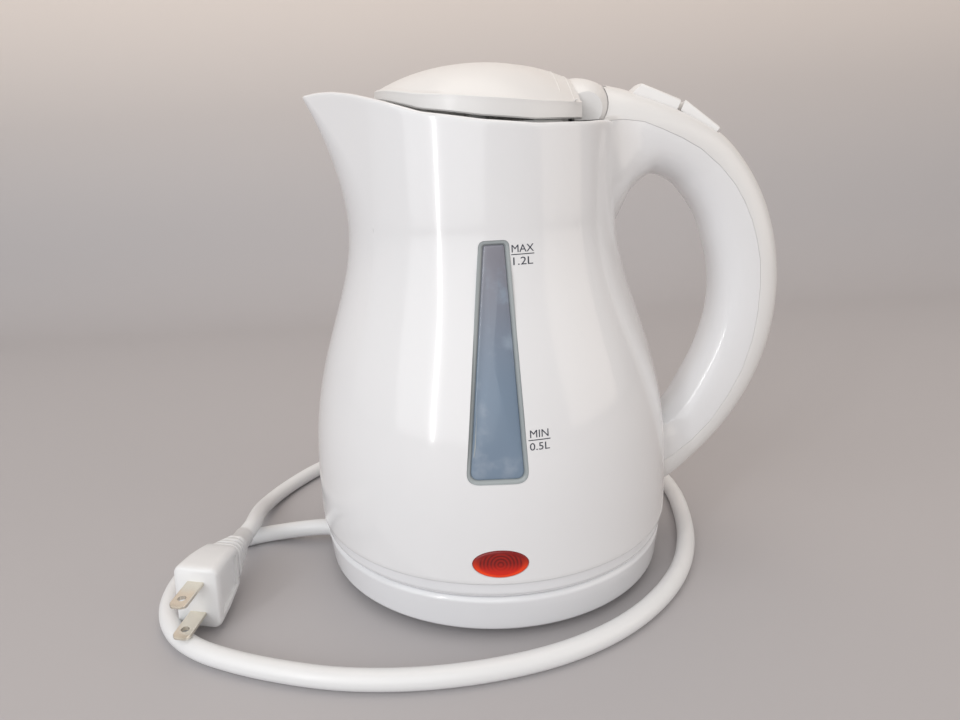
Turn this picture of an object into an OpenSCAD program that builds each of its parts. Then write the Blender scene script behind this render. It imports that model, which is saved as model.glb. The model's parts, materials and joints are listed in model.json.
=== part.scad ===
// Cordless electric kettle on a power base, with its cord and plug.
// +Z is up, the base rests on z = 0 about the Z axis, the lip points to -X and the handle to +X.

/* [Power base] */
// How far the base's edge stays behind the kettle's foot
base_step = 1.5; // [0.5:0.1:4]
// Height of the base's top face above the table
base_h = 17.4; // [15:0.2:22]
// Wall of the base cover
base_wall = 2.2; // [1.6:0.1:3]
// Height of the rubber feet under the base plate
foot_lift = 3; // [2:0.5:5]
// Diameter of one rubber foot
foot_d = 11; // [8:1:14]
// Radius of the circle that the feet stand on
foot_ring_r = 54; // [46:1:58]
// Radius of the connector tower in the middle of the base
tower_r = 14; // [12:0.5:16]
// Height of the connector tower above the base's top face
tower_rise = 13; // [10:0.5:15]

/* [Kettle body] */
// Radius of the kettle at its foot
belly_r = 73.5; // [70:0.5:80]
// Height of the body moulding's lower edge
body_z = 23.8; // [22:0.2:27]
// Radius of the body at its waist
waist_r = 52.2; // [46:0.2:56]
// Height of the waist
waist_z = 142; // [130:1:150]
// Radius of the body at its rim
top_r = 51; // [47:0.5:54]
// Depth of the rim's highest point below the lid's highest point
rim_drop = 7.2; // [6:0.1:9]
// Wall of the body moulding
body_wall = 2.6; // [2:0.1:3.4]
// Height of the heating plate's upper face
plate_z = 39.8; // [37:0.2:44]
// Room between the heating plate's edge and the body's inner wall
plate_gap = 2.9; // [2:0.1:4]

/* [Pouring lip] */
// Reach of the lip's tip from the kettle's axis
tip_reach = 66.4; // [60:0.2:74]
// Radius of the lip's tip
tip_r = 6; // [4:0.5:9]

/* [Gauge window] */
// Height of the window's lower edge
window_z = 61; // [56:1:70]
// Length of the window
window_h = 77; // [60:1:82]
// Width of the window at its lower edge
window_w = 20.4; // [14:0.2:24]
// Width of the window at its upper edge
window_top_w = 10; // [8:0.2:16]
// Shift of the window's upper end towards the handle
window_lean = 2.2; // [0:0.2:4]

/* [Lamp] */
// Height of the lamp lens's centre
lens_z = 31.9; // [30:0.1:34]
// Width of the lamp lens
lens_w = 19.4; // [14:0.2:24]
// Height of the lamp lens
lens_h = 10.6; // [7:0.2:12]

/* [Lid] */
// Height of the lid's highest point
lid_top = 198.2; // [194:0.2:204]
// Radius of the lid
lid_r = 45.5; // [42:0.5:47]
// Reach of the lid in front of the kettle's axis
lid_front = 38.5; // [34:0.5:42]
// Wall of the lid
lid_wall = 2; // [1.6:0.1:2.6]
// Distance of the hinge axis behind the kettle's axis
hinge_x = 38; // [36:0.5:40]
// Depth of the hinge axis below the lid's highest point
hinge_drop = 19.2; // [18:0.1:20.4]
// Radius of the hinge barrel in the middle
barrel_r = 12.8; // [12:0.1:13.4]
// Radius of the hinge barrel at its ends
barrel_end_r = 5; // [4.5:0.1:6.5]
// Half length of the hinge barrel
barrel_half = 20; // [18:0.5:22]
// Diameter of the hinge pin
hinge_pin_d = 3; // [2.5:0.1:3.4]

/* [Handle] */
// Half width of the handle's grip
grip_half = 12.5; // [11:0.5:15]
// Wall of the handle mouldings
handle_wall = 2.2; // [1.6:0.1:2.8]
// Half width of the release button and the switch
key_half = 8; // [7:0.5:8.5]
// Travel of the release button
button_travel = 3; // [2:0.5:3]
// Gap round the button and the switch
key_gap = 0.35; // [0.25:0.05:0.5]
// Diameter of the switch's pivot pin
rocker_pin_d = 2; // [1.6:0.1:2.4]

/* [Cord and plug] */
// Diameter of the cord
cord_d = 7.2; // [6:0.1:8]
// Width of the plug across its blades' faces
plug_w = 17; // [14:0.5:20]
// Height of the plug along the row of blades
plug_h = 25; // [22:0.5:28]
// Length of the plug's body
plug_len = 27; // [22:0.5:32]
// Distance between the two blades
blade_pitch = 12.7; // [12:0.1:13]
// Length of a blade outside the plug
blade_len = 16; // [14:0.5:18]
// Width of a blade
blade_w = 6.3; // [6:0.1:6.5]

/* [Screws] */
// Thread diameter of the screws
screw_d = 3; // [2.5:0.1:3.5]
// Head diameter of the screws
screw_head_d = 5.6; // [5:0.1:6.5]

/* [Hidden] */

white = [0.93, 0.94, 0.95];
soft_white = [0.96, 0.96, 0.95];
steel = [0.72, 0.73, 0.74];
brass = [0.80, 0.68, 0.38];
dark = [0.20, 0.20, 0.22];
silicone = [0.80, 0.82, 0.82];

eps = 0.02;              // overlap that keeps cuts clean
fit = 0.2;               // clearance between parts that are assembled
seat = 0.4;              // gap between kettle and base, and between lid and rim
run = 0.05;              // radial clearance of a turning fit
fn_body = 60;            // sides of the body's sections
fn_round = 48;

// ---- base
base_r = belly_r - base_step;
plate_t = 2;
base_floor = foot_lift + 0.2;
base_bottom_r = base_r - 1.2;
base_in_r = base_r - base_wall - 1.2;
tower_top = base_h + tower_rise;
collar_h = 2.6;
collar_r = tower_r + 4;
tower_flange_r = tower_r + 5;
relief_in = base_in_r - 20.6;
clamp_in = base_in_r - 16.6;
relief_r = cord_d / 2 + 1;
post_r = 3.6;
post_ring_r = 42;
post_az = [0, 120, 240];
foot_az = [45, 135, 225, 315];

// ---- kettle
rim_top = lid_top - rim_drop;
hinge_z = lid_top - hinge_drop;
kettle_z = base_h + seat;
cover_r = belly_r - 1.1;
cover_in = belly_r - 13.5;
cover_step = collar_h + seat + 0.8;
plate_t_steel = 1;
ledge_z = plate_z + 1.2;
ledge_t = 2.4;
plate_r = belly_r - body_wall - plate_gap;
ledge_r = plate_r - 7;
spreader_r = cover_in - 4 - post_r - 2.4;
spreader_t = 2;
spreader_z = plate_z - plate_t_steel - spreader_t;
coupler_r = 24;
coupler_z = base_h + collar_h + 1;
element_r = 38;
element_d = 6.6;
groove_in = 5.2;
groove_out = 8.2;
pin_hole_r = 2.6;

// ---- points of the side view (x, z), drawn for one lid height and one belly, which they follow
drawn_top = 198.2;
drawn_belly = 73.5;
function share(value) = min(max(value, 0), 1);
function follow(p) = [p[0] + (belly_r - drawn_belly) * share((waist_z - p[1]) / (waist_z - body_z)),
    p[1] + (lid_top - drawn_top) * share((p[1] - body_z) / 136)];
function all_follow(points) = [for (p = points) follow(p)];

// rim, and seam of the handle
RIM = all_follow([[-90, 191], [-60, 191], [-53, 190.3], [-45, 188], [-33, 184], [-20, 179.3], [0, 175.7],
    [18, 173.8], [36, 174], [44, 174.8], [52, 175]]);
SEAM = all_follow([[52, 175], [59.5, 173.9], [66.6, 171], [74, 167.6], [81.5, 163.3], [89, 157], [95, 150.2],
    [99.2, 143.4], [102.4, 136.4], [104.8, 129], [106.5, 121.3], [107.3, 111.5], [107.1, 100.5],
    [105.8, 89.5], [102.6, 77.2], [97.8, 66.8], [91.6, 56.4], [83.6, 47.6], [76, 42], [68, 38]]);
// height of the lid's ridge over the length
RIDGE = all_follow([[-39, 191.3], [-30, 188.8], [-20, 186], [0, 183.4], [20, 181.5], [36, 181.2], [40, 183.4],
    [46, 188]]);
lid_cut = hinge_x - 4;   // the lid cover ends here, and the hinge part begins

// ---- handle stations: outer point, inner point (x, z), extra half width
STATIONS = [[[42, 190], [40, 148], 7.5], [[53, 187.6], [51, 150.5], 6], [[62, 184.8], [60, 153.8], 4.5],
    [[73, 180.3], [67.5, 155.8], 3], [[84, 174.6], [74.6, 152.4], 1.7], [[93, 168.2], [80.6, 146], 0.7],
    [[102, 157.6], [85.6, 138], 0.2], [[109.2, 145.4], [88.8, 129], 0], [[114.2, 131.4], [91, 121], 0],
    [[116.8, 117], [92.2, 112.5], 0], [[117.2, 102.6], [92.2, 104], 0], [[115.4, 88], [90.8, 94.8], 0],
    [[111.2, 73.6], [87.6, 84.4], 0], [[105, 60.6], [82.6, 73.4], 0], [[97, 48.8], [77, 63.2], 0],
    [[87.6, 38.6], [69.6, 54.6], 0], [[78, 29.8], [60, 47], 0], [[70, 24.6], [50, 40], 0]];
HANDLE = [for (s = STATIONS) [follow(s[0]), follow(s[1]), s[2]]];
section_power = 2.5;     // squareness of the handle's section
fn_handle = 24;

// ---- button and switch frames: origin (x, z) and slope of their top faces
BUTTON_AT = [61, lid_top - 9];
BUTTON_TILT = 23.6;
SWITCH_AT = [78.4, lid_top - 16.6];
SWITCH_TILT = 37.6;
key_arc = 22;            // radius of the curved ends of both keys
button_len = 17.4;
switch_len = 17.2;
key_split = 1.3;         // gap between button and switch
crown_r = 40;
PIVOT = [82.5, lid_top - 26.7];
slider_z = lid_top - 30.8;
slider_t = 3.2;
slider_half = 3;
nose_x = 47.2;
ramp_x = 59;
ramp_rise = 0.649;       // slope along which the button's leg drives the slider
slider_end = 69;
hook_x = 48;
hook_t = 1.6;
cheek_in = 4.8;
cheek_out = 6.3;
arm_in = 10;             // hinge arms stand between these distances from the middle
arm_out = 14;
bracket_x = max(waist_r, top_r) + 0.1;
bracket_t = 1.8;

// ---- cord route along the table (x, y, z)
cord_r = cord_d / 2;
ROUTE = [[-73, 0, 7], [-79, 0, 7], [-86, 0.8, 6.1], [-94, 2, 4.6], [-103, 1.4, 3.7], [-111.6, -1.8, 3.6],
    [-119.4, -7.6, 3.6], [-126, -17, 3.6], [-129.6, -29, 3.6], [-130, -41, 3.6], [-126.8, -54, 3.6],
    [-119.6, -65.6, 3.6], [-108.6, -74.8, 3.6], [-94, -81.6, 3.6], [-75, -87.6, 3.6], [-53, -92, 3.6],
    [-28, -92.8, 3.6], [-3, -89.6, 3.6], [21, -82.4, 3.6], [42.4, -70.6, 3.6], [60, -54.8, 3.6],
    [73.4, -36.4, 3.6], [82.4, -16, 3.6], [87.8, 5.6, 3.6], [90.6, 28, 3.6], [88.6, 51, 3.6], [80, 73, 3.6],
    [65.6, 92, 3.6], [45.4, 106, 3.6], [21, 114.8, 3.6], [-5, 117.4, 3.6], [-31, 113.6, 3.6],
    [-55, 103.6, 3.6], [-76.4, 88.2, 3.6], [-94, 68.4, 3.6], [-105.6, 47, 3.8], [-110.4, 28, 5.4],
    [-108.8, 9, 10.4], [-105.56, -11, 15], [-106.4, -19, 15]];
PLUG_AT = [-106.4, -19, 15];   // where the cord enters the plug's neck
plug_turn = 174;             // heading of the blades, from +Y
plug_roll = -4;              // the plug leans on the cord beside it
neck_len = 15;
blade_t = 1.5;

// ================================================= shared functions and modules

// radius of the body at a height: an S curve from belly to waist, then a slow taper to the rim
function body_r(z) = z >= waist_z
    ? waist_r + (top_r - waist_r) * min((z - waist_z) / (rim_top - waist_z), 1)
    : waist_r + (belly_r - waist_r) * (1 + cos(180 * pow(max(z - body_z, 0) / (waist_z - body_z), 1.54))) / 2;

// reach of the lip from the axis, and the radius of its end, at a height
function lip_reach(z) = waist_r
    + (tip_reach - waist_r) * pow(min(max(z - waist_z, 0) / (rim_top - waist_z), 1), 1.8);
lip_slope = (top_r - tip_r) / (tip_reach - tip_r);
function lip_r(z) = min(body_r(z), (body_r(z) - lip_slope * lip_reach(z)) / (1 - lip_slope));

// one point of the body's section, for a wall offset, by the direction of its normal
function body_point(z, inset, a) = z <= waist_z || body_r(z) >= lip_r(z) - (lip_reach(z) - lip_r(z)) * cos(a)
    ? [(body_r(z) - inset) * cos(a), (body_r(z) - inset) * sin(a), z]
    : [-(lip_reach(z) - lip_r(z)) + (lip_r(z) - inset) * cos(a), (lip_r(z) - inset) * sin(a), z];
function body_ring(z, inset) = [for (i = [0:fn_body - 1]) body_point(z, inset, (i + 0.5) * 360 / fn_body)];

// a closed skin over rings that all have the same number of points
module skin(rings) {
    n = len(rings[0]);
    m = len(rings);
    points = [for (ring = rings) each ring];
    low = [[for (i = [0:n - 1]) i]];
    high = [[for (i = [n - 1:-1:0]) (m - 1) * n + i]];
    sides = [for (k = [0:m - 2]) for (i = [0:n - 1]) let (j = (i + 1) % n)
        each [[k * n + i, (k + 1) * n + i, k * n + j], [k * n + j, (k + 1) * n + i, (k + 1) * n + j]]];
    polyhedron(points, concat(low, high, sides));
}

function body_levels(low, high, count) = [for (k = [0:count]) low + (high - low) * k / count];

module body_solid(inset, low, high, count) {
    skin([for (z = body_levels(low, high, count)) body_ring(z, inset)]);
}

module body_outside() {
    body_solid(0, body_z, rim_top + 6, 30);
}
module body_inside() {
    body_solid(body_wall, body_z - 1, rim_top + 8, 20);
}

// a slab across the whole part, drawn from an outline in the side view (x, z)
module side_slab(outline, half) {
    rotate([90, 0, 0]) translate([0, 0, -half]) linear_extrude(2 * half) polygon(outline);
}

// everything above the rim and outside the handle's seam, moved out by gap
module above_seam(gap, first) {
    line = concat(first ? RIM : [[20, lid_top - 23.4], [44, lid_top - 23.4], [52, lid_top - 23.2]], SEAM);
    rotate([90, 0, 0]) translate([0, 0, -60]) linear_extrude(120) offset(delta = -gap)
        polygon(concat(line, [[68, 10], [140, 10], [140, lid_top + 30], [line[0][0], lid_top + 30]]));
}

// one section of the handle, made thinner by inset
function handle_ring(s, inset) = let (
    o = s[0], i = s[1], c = (o + i) / 2, v = o - i, h = norm(v) / 2, d = v / norm(v),
    w = grip_half + s[2] - inset)
    [for (k = [0:fn_handle - 1]) let (a = 360 * k / fn_handle, e = 2 / section_power,
        u = sign(cos(a)) * pow(abs(cos(a)), e) * (h - inset), y = sign(sin(a)) * pow(abs(sin(a)), e) * w)
        [c[0] + d[0] * u, y, c[1] + d[1] * u]];

module handle_solid(inset, first = 0, last = len(HANDLE) - 1) {
    for (k = [first:last - 1])
        hull() {
            for (s = [HANDLE[k], HANDLE[k + 1]])
                polyhedron(concat(handle_ring(s, inset), [[(s[0][0] + s[1][0]) / 2, 0, (s[0][1] + s[1][1]) / 2 + eps]]),
                    concat([[for (i = [0:fn_handle - 1]) i]],
                        [for (i = [0:fn_handle - 1]) [(i + 1) % fn_handle, i, fn_handle]]));
        }
}

// the hinge barrel's round, larger by gap, about the hinge axis
barrel_arc = (barrel_half * barrel_half + pow(barrel_r - barrel_end_r, 2)) / (2 * (barrel_r - barrel_end_r));
module at_hinge() {
    translate([hinge_x, 0, hinge_z]) rotate([90, 0, 0]) children();
}
module barrel_round(gap, half) {
    at_hinge() rotate_extrude($fn = 40) intersection() {
        translate([barrel_r - barrel_arc, 0]) circle(barrel_arc + gap, $fn = 72);
        translate([0, -half]) square([barrel_r + gap + 1, 2 * half]);
    }
}

// a closed helix of round wire along +Z
module coil(radius, wire, turns, height, steps = 10, sides = 6) {
    count = ceil(turns * steps);
    rings = [for (k = [0:count]) let (a = 360 * turns * k / count, z = height * k / count)
        [for (i = [0:sides - 1]) let (b = -360 * i / sides, rr = radius + wire / 2 * cos(b))
            [rr * cos(a), rr * sin(a), z + wire / 2 * sin(b)]]];
    skin(rings);
}

// a tube of constant diameter along a list of points
function unit(v) = v / norm(v);
function heading(path, i) = unit(path[min(i + 1, len(path) - 1)] - path[max(i - 1, 0)]);
module tube(path, radius, sides) {
    skin([for (i = [0:len(path) - 1]) let (t = heading(path, i), s = unit(cross([0, 0, 1], t)), u = cross(t, s))
        [for (k = [0:sides - 1]) let (a = 360 * (k + 0.5) / sides)
            path[i] + radius * (cos(a) * s + sin(a) * u)]]);
}

// a pan-head screw with its head down at z = 0 and its shank going up
module screw(length) {
    cylinder(h = 2, d = screw_head_d, $fn = 32);
    translate([0, 0, 2 - eps]) cylinder(h = length, d = screw_d, $fn = 32);
}

module ring_of(angles, radius) {
    for (a = angles) rotate(a) translate([radius, 0, 0]) children();
}

// the frames of the two keys on the handle: x runs down the slope, z is the top face's normal
module button_frame() {
    translate([BUTTON_AT[0], 0, BUTTON_AT[1]]) rotate([0, BUTTON_TILT, 0]) children();
}
module switch_frame() {
    translate([SWITCH_AT[0], 0, SWITCH_AT[1]]) rotate([0, SWITCH_TILT, 0]) children();
}

// plan of the release button, with both ends curved round the same way
module button_plan(gap) {
    difference() {
        union() {
            translate([-key_half, -key_half - gap]) square([button_len - key_arc + key_half, 2 * (key_half + gap)]);
            intersection() {
                translate([button_len - key_arc, 0]) circle(key_arc + gap, $fn = 96);
                translate([button_len - key_arc - 1, -key_half - gap])
                    square([key_arc + 3, 2 * (key_half + gap)]);
            }
        }
        translate([-key_arc, 0]) circle(key_arc - gap, $fn = 96);
    }
}

// plan of the power switch in its own frame
module switch_plan(gap) {
    translate([-6, -key_half - gap]) square([switch_len - 2 + 6, 2 * (key_half + gap)]);
    intersection() {
        translate([switch_len - 16, 0]) circle(16 + gap, $fn = 96);
        translate([switch_len - 8, -key_half - gap]) square([10, 2 * (key_half + gap)]);
    }
}

// ================================================= power base

module base_cover() {
    color(white) difference() {
        union() {
            difference() {
                rotate_extrude($fn = 120) {
                    polygon([[0, foot_lift + 0.4], [base_bottom_r - 0.9, foot_lift + 0.4],
                        [base_bottom_r, foot_lift + 1.4], [base_r, base_h - 1.4], [base_r - 0.4, base_h - 0.4],
                        [base_r - 1.4, base_h], [0, base_h]]);
                }
                translate([0, 0, -eps]) cylinder(h = base_h - base_wall + eps, r = base_in_r, $fn = 120);
            }
            ring_of(post_az, post_ring_r)
                translate([0, 0, base_floor + plate_t]) cylinder(h = base_h - base_floor - plate_t - 1, r = post_r, $fn = 32);
        }
        translate([0, 0, -1]) cylinder(h = base_h + 20, r = tower_r + 1, $fn = 96);
        ring_of(post_az, post_ring_r)
            translate([0, 0, base_floor]) cylinder(h = 9, d = screw_d, $fn = 32);
        // opening for the strain relief
        translate([-base_r - 2, 0, ROUTE[0][2]]) rotate([0, 90, 0]) cylinder(h = 8, r = relief_r + 0.3, $fn = 48);
    }
}

// low ring round the tower that keeps drips out of it
module splash_collar() {
    color(white) translate([0, 0, base_h]) difference() {
        cylinder(h = collar_h, r = collar_r, $fn = 96);
        translate([0, 0, -1]) cylinder(h = collar_h + 2, r = tower_r + 1, $fn = 96);
    }
}

module base_plate() {
    color(white) difference() {
        translate([0, 0, base_floor]) cylinder(h = plate_t, r = base_in_r - fit, $fn = 120);
        foot_places() translate([0, 0, base_floor - 1]) cylinder(h = 2, d = foot_d, $fn = 48);
        ring_of(post_az, post_ring_r) {
            translate([0, 0, base_floor - 1]) cylinder(h = plate_t + 2, d = screw_d + 0.4, $fn = 32);
            translate([0, 0, base_floor - 1]) cylinder(h = 2, d = screw_head_d + 0.6, $fn = 32);
        }
        translate([-base_in_r - 1, -relief_r - 1.2, base_floor - 1])
            cube([base_in_r + 3 - relief_in, 2 * relief_r + 2.4, plate_t + 2]);
        translate([0, 0, base_floor - 1]) ring_of([for (k = [0:11]) 30 * k], 24)
            cylinder(h = plate_t + 2, d = 4, $fn = 24);
    }
}

// four feet near the edge, and one in the middle that takes the push of the kettle
module foot_places() {
    ring_of(foot_az, foot_ring_r) children();
    children();
}

module base_feet() {
    color(dark) foot_places()
        rotate_extrude($fn = 48)
            polygon([[0, 0], [foot_d / 2 - 0.8, 0], [foot_d / 2, 0.8], [foot_d / 2, base_floor + 1],
                [0, base_floor + 1]]);
}

module base_screws() {
    color(steel) ring_of(post_az, post_ring_r) translate([0, 0, base_floor - 1]) screw(8);
}

module base_connector() {
    flange_z = base_floor + plate_t + 1.2;
    flange_top = base_h - base_wall - 0.1;
    color(dark) rotate_extrude($fn = 96)
        polygon([[0, flange_z], [tower_flange_r, flange_z], [tower_flange_r, flange_top], [tower_r, flange_top],
            [tower_r, tower_top - 1], [tower_r - 1, tower_top], [groove_out, tower_top], [groove_out, base_h],
            [groove_in, base_h], [groove_in, tower_top], [pin_hole_r, tower_top], [pin_hole_r, base_h],
            [0, base_h]]);
}

module connector_contacts() {
    color(brass) {
        translate([0, 0, base_h]) cylinder(h = 1.2, r = pin_hole_r, $fn = 48);
        translate([0, 0, base_h]) difference() {
            cylinder(h = 5, r = groove_out - 0.05, $fn = 96);
            translate([0, 0, -1]) cylinder(h = 7, r = groove_out - 0.65, $fn = 96);
        }
    }
}

module strain_relief() {
    color(soft_white) translate([0, 0, ROUTE[0][2]]) rotate([0, -90, 0]) {
        translate([0, 0, relief_in]) cylinder(h = base_r + 1 - relief_in, r = relief_r, $fn = 48);
        translate([0, 0, base_in_r - 2]) cylinder(h = 1.6, r = relief_r + 1, $fn = 48);
    }
}

module cord_clamp() {
    color(white) difference() {
        translate([-clamp_in - 6, -9.5, base_floor + plate_t]) cube([6, 19, base_h - base_wall - base_floor - plate_t - fit]);
        translate([-clamp_in - 8, 0, ROUTE[0][2]]) rotate([0, 90, 0]) cylinder(h = 10, r = relief_r + 0.05, $fn = 48);
        translate([-clamp_in - 8, -relief_r - 0.05, base_floor]) cube([10, 2 * relief_r + 0.1, ROUTE[0][2] - base_floor]);
    }
}

module base_leads() {
    z = ROUTE[0][2] + 0.6;
    color([0.45, 0.25, 0.12]) tube([[-relief_in, 1.6, z], [-40, 1.6, z], [-34, 4, z + 0.6], [-27, 8, z + 0.8],
        [-22, 9, z + 0.8], [-tower_flange_r + 0.6, 8, z + 0.8]], 1.1, 8);
    color([0.15, 0.35, 0.70]) tube([[-relief_in, -1.6, z], [-40, -1.6, z], [-34, -4, z + 0.6], [-27, -8, z + 0.8],
        [-22, -9, z + 0.8], [-tower_flange_r + 0.6, -8, z + 0.8]], 1.1, 8);
}

module cord() {
    color(soft_white) tube(ROUTE, cord_r, 10);
}

// the plug's frame: z runs from the neck towards the blades, x across the blades' faces
module plug_frame() {
    translate(PLUG_AT) rotate([0, 0, plug_turn]) rotate([-90, 0, 0]) rotate([0, 0, plug_roll]) children();
}

module plug_body() {
    color(soft_white) plug_frame() {
        difference() {
            union() {
                hull() {
                    translate([0, 0, neck_len]) linear_extrude(1) square([plug_w - 3, plug_h - 6], center = true);
                    translate([0, 0, neck_len + 9]) linear_extrude(plug_len - 10)
                        offset(2.4, $fn = 24) square([plug_w - 4.8, plug_h - 4.8], center = true);
                    translate([0, 0, neck_len + plug_len - 1]) linear_extrude(1)
                        offset(2, $fn = 24) square([plug_w - 5.6, plug_h - 5.6], center = true);
                }
                for (k = [0:3]) translate([0, 0, 1 + 3.6 * k])
                    linear_extrude(2.4) offset(2, $fn = 16)
                        square([7 + 1.6 * k, 9 + 2.4 * k], center = true);
                cylinder(h = neck_len + 1, r = cord_r + 0.9, $fn = 32);
            }
            // finger grips on both sides
            for (s = [-1, 1]) translate([s * (plug_w / 2 + 1.4), 0, neck_len + 12])
                cube([4, plug_h - 10, 15], center = true);
            for (s = [-1, 1]) translate([-blade_w / 2, s * blade_pitch / 2 - blade_t / 2, neck_len + plug_len - 8])
                cube([blade_w, blade_t, 20]);
            translate([0, 0, -1]) cylinder(h = 1 + eps, r = 20, $fn = 32);
        }
    }
}

module plug_blades() {
    color(brass) plug_frame() for (s = [-1, 1])
        translate([0, s * blade_pitch / 2, neck_len + plug_len - 8]) difference() {
            union() {
                translate([-blade_w / 2, -blade_t / 2, 0]) cube([blade_w, blade_t, 8 + blade_len - 2]);
                rotate([90, 0, 0]) translate([0, 0, -blade_t / 2]) linear_extrude(blade_t)
                    polygon([[-blade_w / 2, 8 + blade_len - 2.01], [blade_w / 2, 8 + blade_len - 2.01],
                        [blade_w / 2 - 1.4, 8 + blade_len], [1.4 - blade_w / 2, 8 + blade_len]]);
            }
            translate([0, blade_t, 8 + blade_len - 4.5]) rotate([90, 0, 0]) cylinder(h = 2 * blade_t, d = 3, $fn = 32);
        }
}

// ================================================= kettle body

// outline of the gauge window in the front view (x, z), larger by grow
module window_outline(grow) {
    offset(2.2 + grow, $fn = 32) offset(-2.2)
        polygon([[-window_w / 2, window_z], [window_w / 2, window_z],
            [window_lean + window_top_w / 2, window_z + window_h],
            [window_lean - window_top_w / 2, window_z + window_h]]);
}
module window_prism(grow) {
    rotate([90, 0, 0]) linear_extrude(belly_r + 10) window_outline(grow);
}

// outline of the lens, as an ellipse larger by grow
module lens_prism(grow, depth) {
    translate([0, 0, lens_z]) rotate([90, 0, 0]) linear_extrude(depth)
        polygon([for (k = [0:35]) [(lens_w / 2 + grow) * cos(10 * k), (lens_h / 2 + grow) * sin(10 * k)]]);
}

// openings in the wall under the lid for the hinge arms and for the latch
module latch_openings() {
    for (s = [-1, 1]) translate([bracket_x - 8.3, s * (arm_in + arm_out) / 2 - 2.4, slider_z - 8.4])
        cube([10, 4.8, 22]);
    translate([bracket_x - 8.3, -5.4, slider_z - 3.8]) cube([10, 10.8, 16]);
}

module body_shell() {
    color(white) {
        difference() {
            body_outside();
            body_inside();
            difference() {
                above_seam(0, true);
                translate([60, -80, 0]) cube([100, 160, slider_z - 17.4]);
            }
            window_prism(0);
            lens_prism(0, belly_r + 4);
            barrel_round(0.6, barrel_half + 0.6);
            latch_openings();
        }
        // ledge that the heating plate is pressed against, and screw bosses below it
        difference() {
            translate([0, 0, ledge_z]) cylinder(h = ledge_t, r = body_r(ledge_z) - body_wall + 0.6, $fn = fn_body);
            translate([0, 0, ledge_z - 1]) cylinder(h = ledge_t + 2, r = ledge_r, $fn = fn_body);
        }
    }
}

module bottom_cover() {
    spigot = belly_r - body_wall - fit - 0.4;
    deck = kettle_z + cover_step - 2;
    color(white) difference() {
        union() {
            // ring, raised deck and spigot that plugs into the body
            rotate_extrude($fn = 120)
                polygon([[coupler_r + 0.4, deck], [cover_in, deck], [cover_in, kettle_z], [cover_r - 1.2, kettle_z],
                    [cover_r - 0.3, kettle_z + 0.5], [cover_r, kettle_z + 1.4], [cover_r, body_z - 0.2],
                    [spigot, body_z - 0.2], [spigot, body_z + 5], [spigot - 1.8, body_z + 5],
                    [spigot - 1.8, kettle_z + 2.2], [cover_in + 2, kettle_z + 2.2], [cover_in + 2, deck + 2],
                    [coupler_r + 0.4, deck + 2]]);
            // posts that hold the heating plate up
            ring_of(post_az, cover_in - 4)
                translate([0, 0, deck + 1]) cylinder(h = plate_z - plate_t_steel - deck - 1, r = post_r, $fn = 32);
        }
        ring_of(post_az, cover_in - 4) {
            translate([0, 0, deck - 1]) cylinder(h = 12, d = screw_d, $fn = 32);
            translate([0, 0, deck - 1]) cylinder(h = 1.8, d = screw_head_d + 0.4, $fn = 32);
        }
        // room for the lamp lens
        translate([-lens_w / 2 - 3, -belly_r, body_z + 0.6]) cube([lens_w + 6, 20, 10]);
    }
}

module bottom_screws() {
    color(steel) ring_of(post_az, cover_in - 4)
        translate([0, 0, kettle_z + cover_step - 3.2]) screw(8);
}

module heating_plate() {
    color(steel) translate([0, 0, plate_z - plate_t_steel]) cylinder(h = plate_t_steel, r = plate_r, $fn = 120);
}

module plate_seal() {
    color(silicone) translate([0, 0, plate_z]) difference() {
        cylinder(h = ledge_z - plate_z, r = plate_r, $fn = 96);
        translate([0, 0, -1]) cylinder(h = 4, r = ledge_r + 1.5, $fn = 96);
    }
}

module heat_spreader() {
    color([0.80, 0.80, 0.81]) translate([0, 0, spreader_z]) cylinder(h = spreader_t, r = spreader_r, $fn = 96);
}

module heating_element() {
    color(steel) {
        translate([0, 0, spreader_z - element_d / 2]) rotate([0, 0, 25]) rotate_extrude(angle = 310, $fn = 72)
            translate([element_r, 0]) circle(d = element_d, $fn = 24);
        for (a = [26, 334]) rotate(a) translate([element_r - 0.4, 0, spreader_z - element_d - 3.4])
            cylinder(h = element_d, d = 2.4, $fn = 24);
    }
}

module kettle_coupler() {
    bore = tower_r + 1;
    color(dark) translate([0, 0, coupler_z]) difference() {
        cylinder(h = spreader_z - coupler_z, r = coupler_r, $fn = 96);
        translate([0, 0, -1]) cylinder(h = tower_top - coupler_z + 2.2, r = bore, $fn = 96);
        for (s = [-1, 1]) translate([s * 19.5, 0, 5]) cylinder(h = 40, r = 3.2, $fn = 32);
    }
}

module coupler_contacts() {
    top = tower_top + 1.2;
    color(brass) {
        translate([0, 0, base_h + 2.4]) cylinder(h = top - base_h - 2.4, r = pin_hole_r - 0.7, $fn = 48);
        translate([0, 0, base_h + 2.4]) difference() {
            cylinder(h = top - base_h - 2.4, r = groove_out - 1.1, $fn = 64);
            translate([0, 0, -1]) cylinder(h = 20, r = groove_in + 0.6, $fn = 64);
        }
    }
}

module boil_dry_discs() {
    color(brass) for (s = [-1, 1]) translate([s * 29, 0, spreader_z - 1])
        cylinder(h = 0.9, r = 4.2, $fn = 48);
}

// the front wall of the body between two offsets from its outer face
module wall_band(outer, inner) {
    step = 7;
    low = window_z - 8;
    count = 14;
    heights = [for (k = [0:count]) low + step * k * 0.95];
    rotate_extrude($fn = 120)
        polygon(concat([for (z = heights) [body_r(z) - outer, z]],
            [for (k = [count:-1:0]) [body_r(heights[k]) - inner, heights[k]]]));
}

module gauge_window() {
    color([0.62, 0.68, 0.76]) {
        intersection() {
            wall_band(0.7, body_wall + 0.4);
            window_prism(-0.15);
        }
        intersection() {
            wall_band(body_wall + 0.9, body_wall + 2.4);
            window_prism(3);
        }
        intersection() {
            wall_band(body_wall + 0.3, body_wall + 1);
            window_prism(-1);
        }
    }
}

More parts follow.
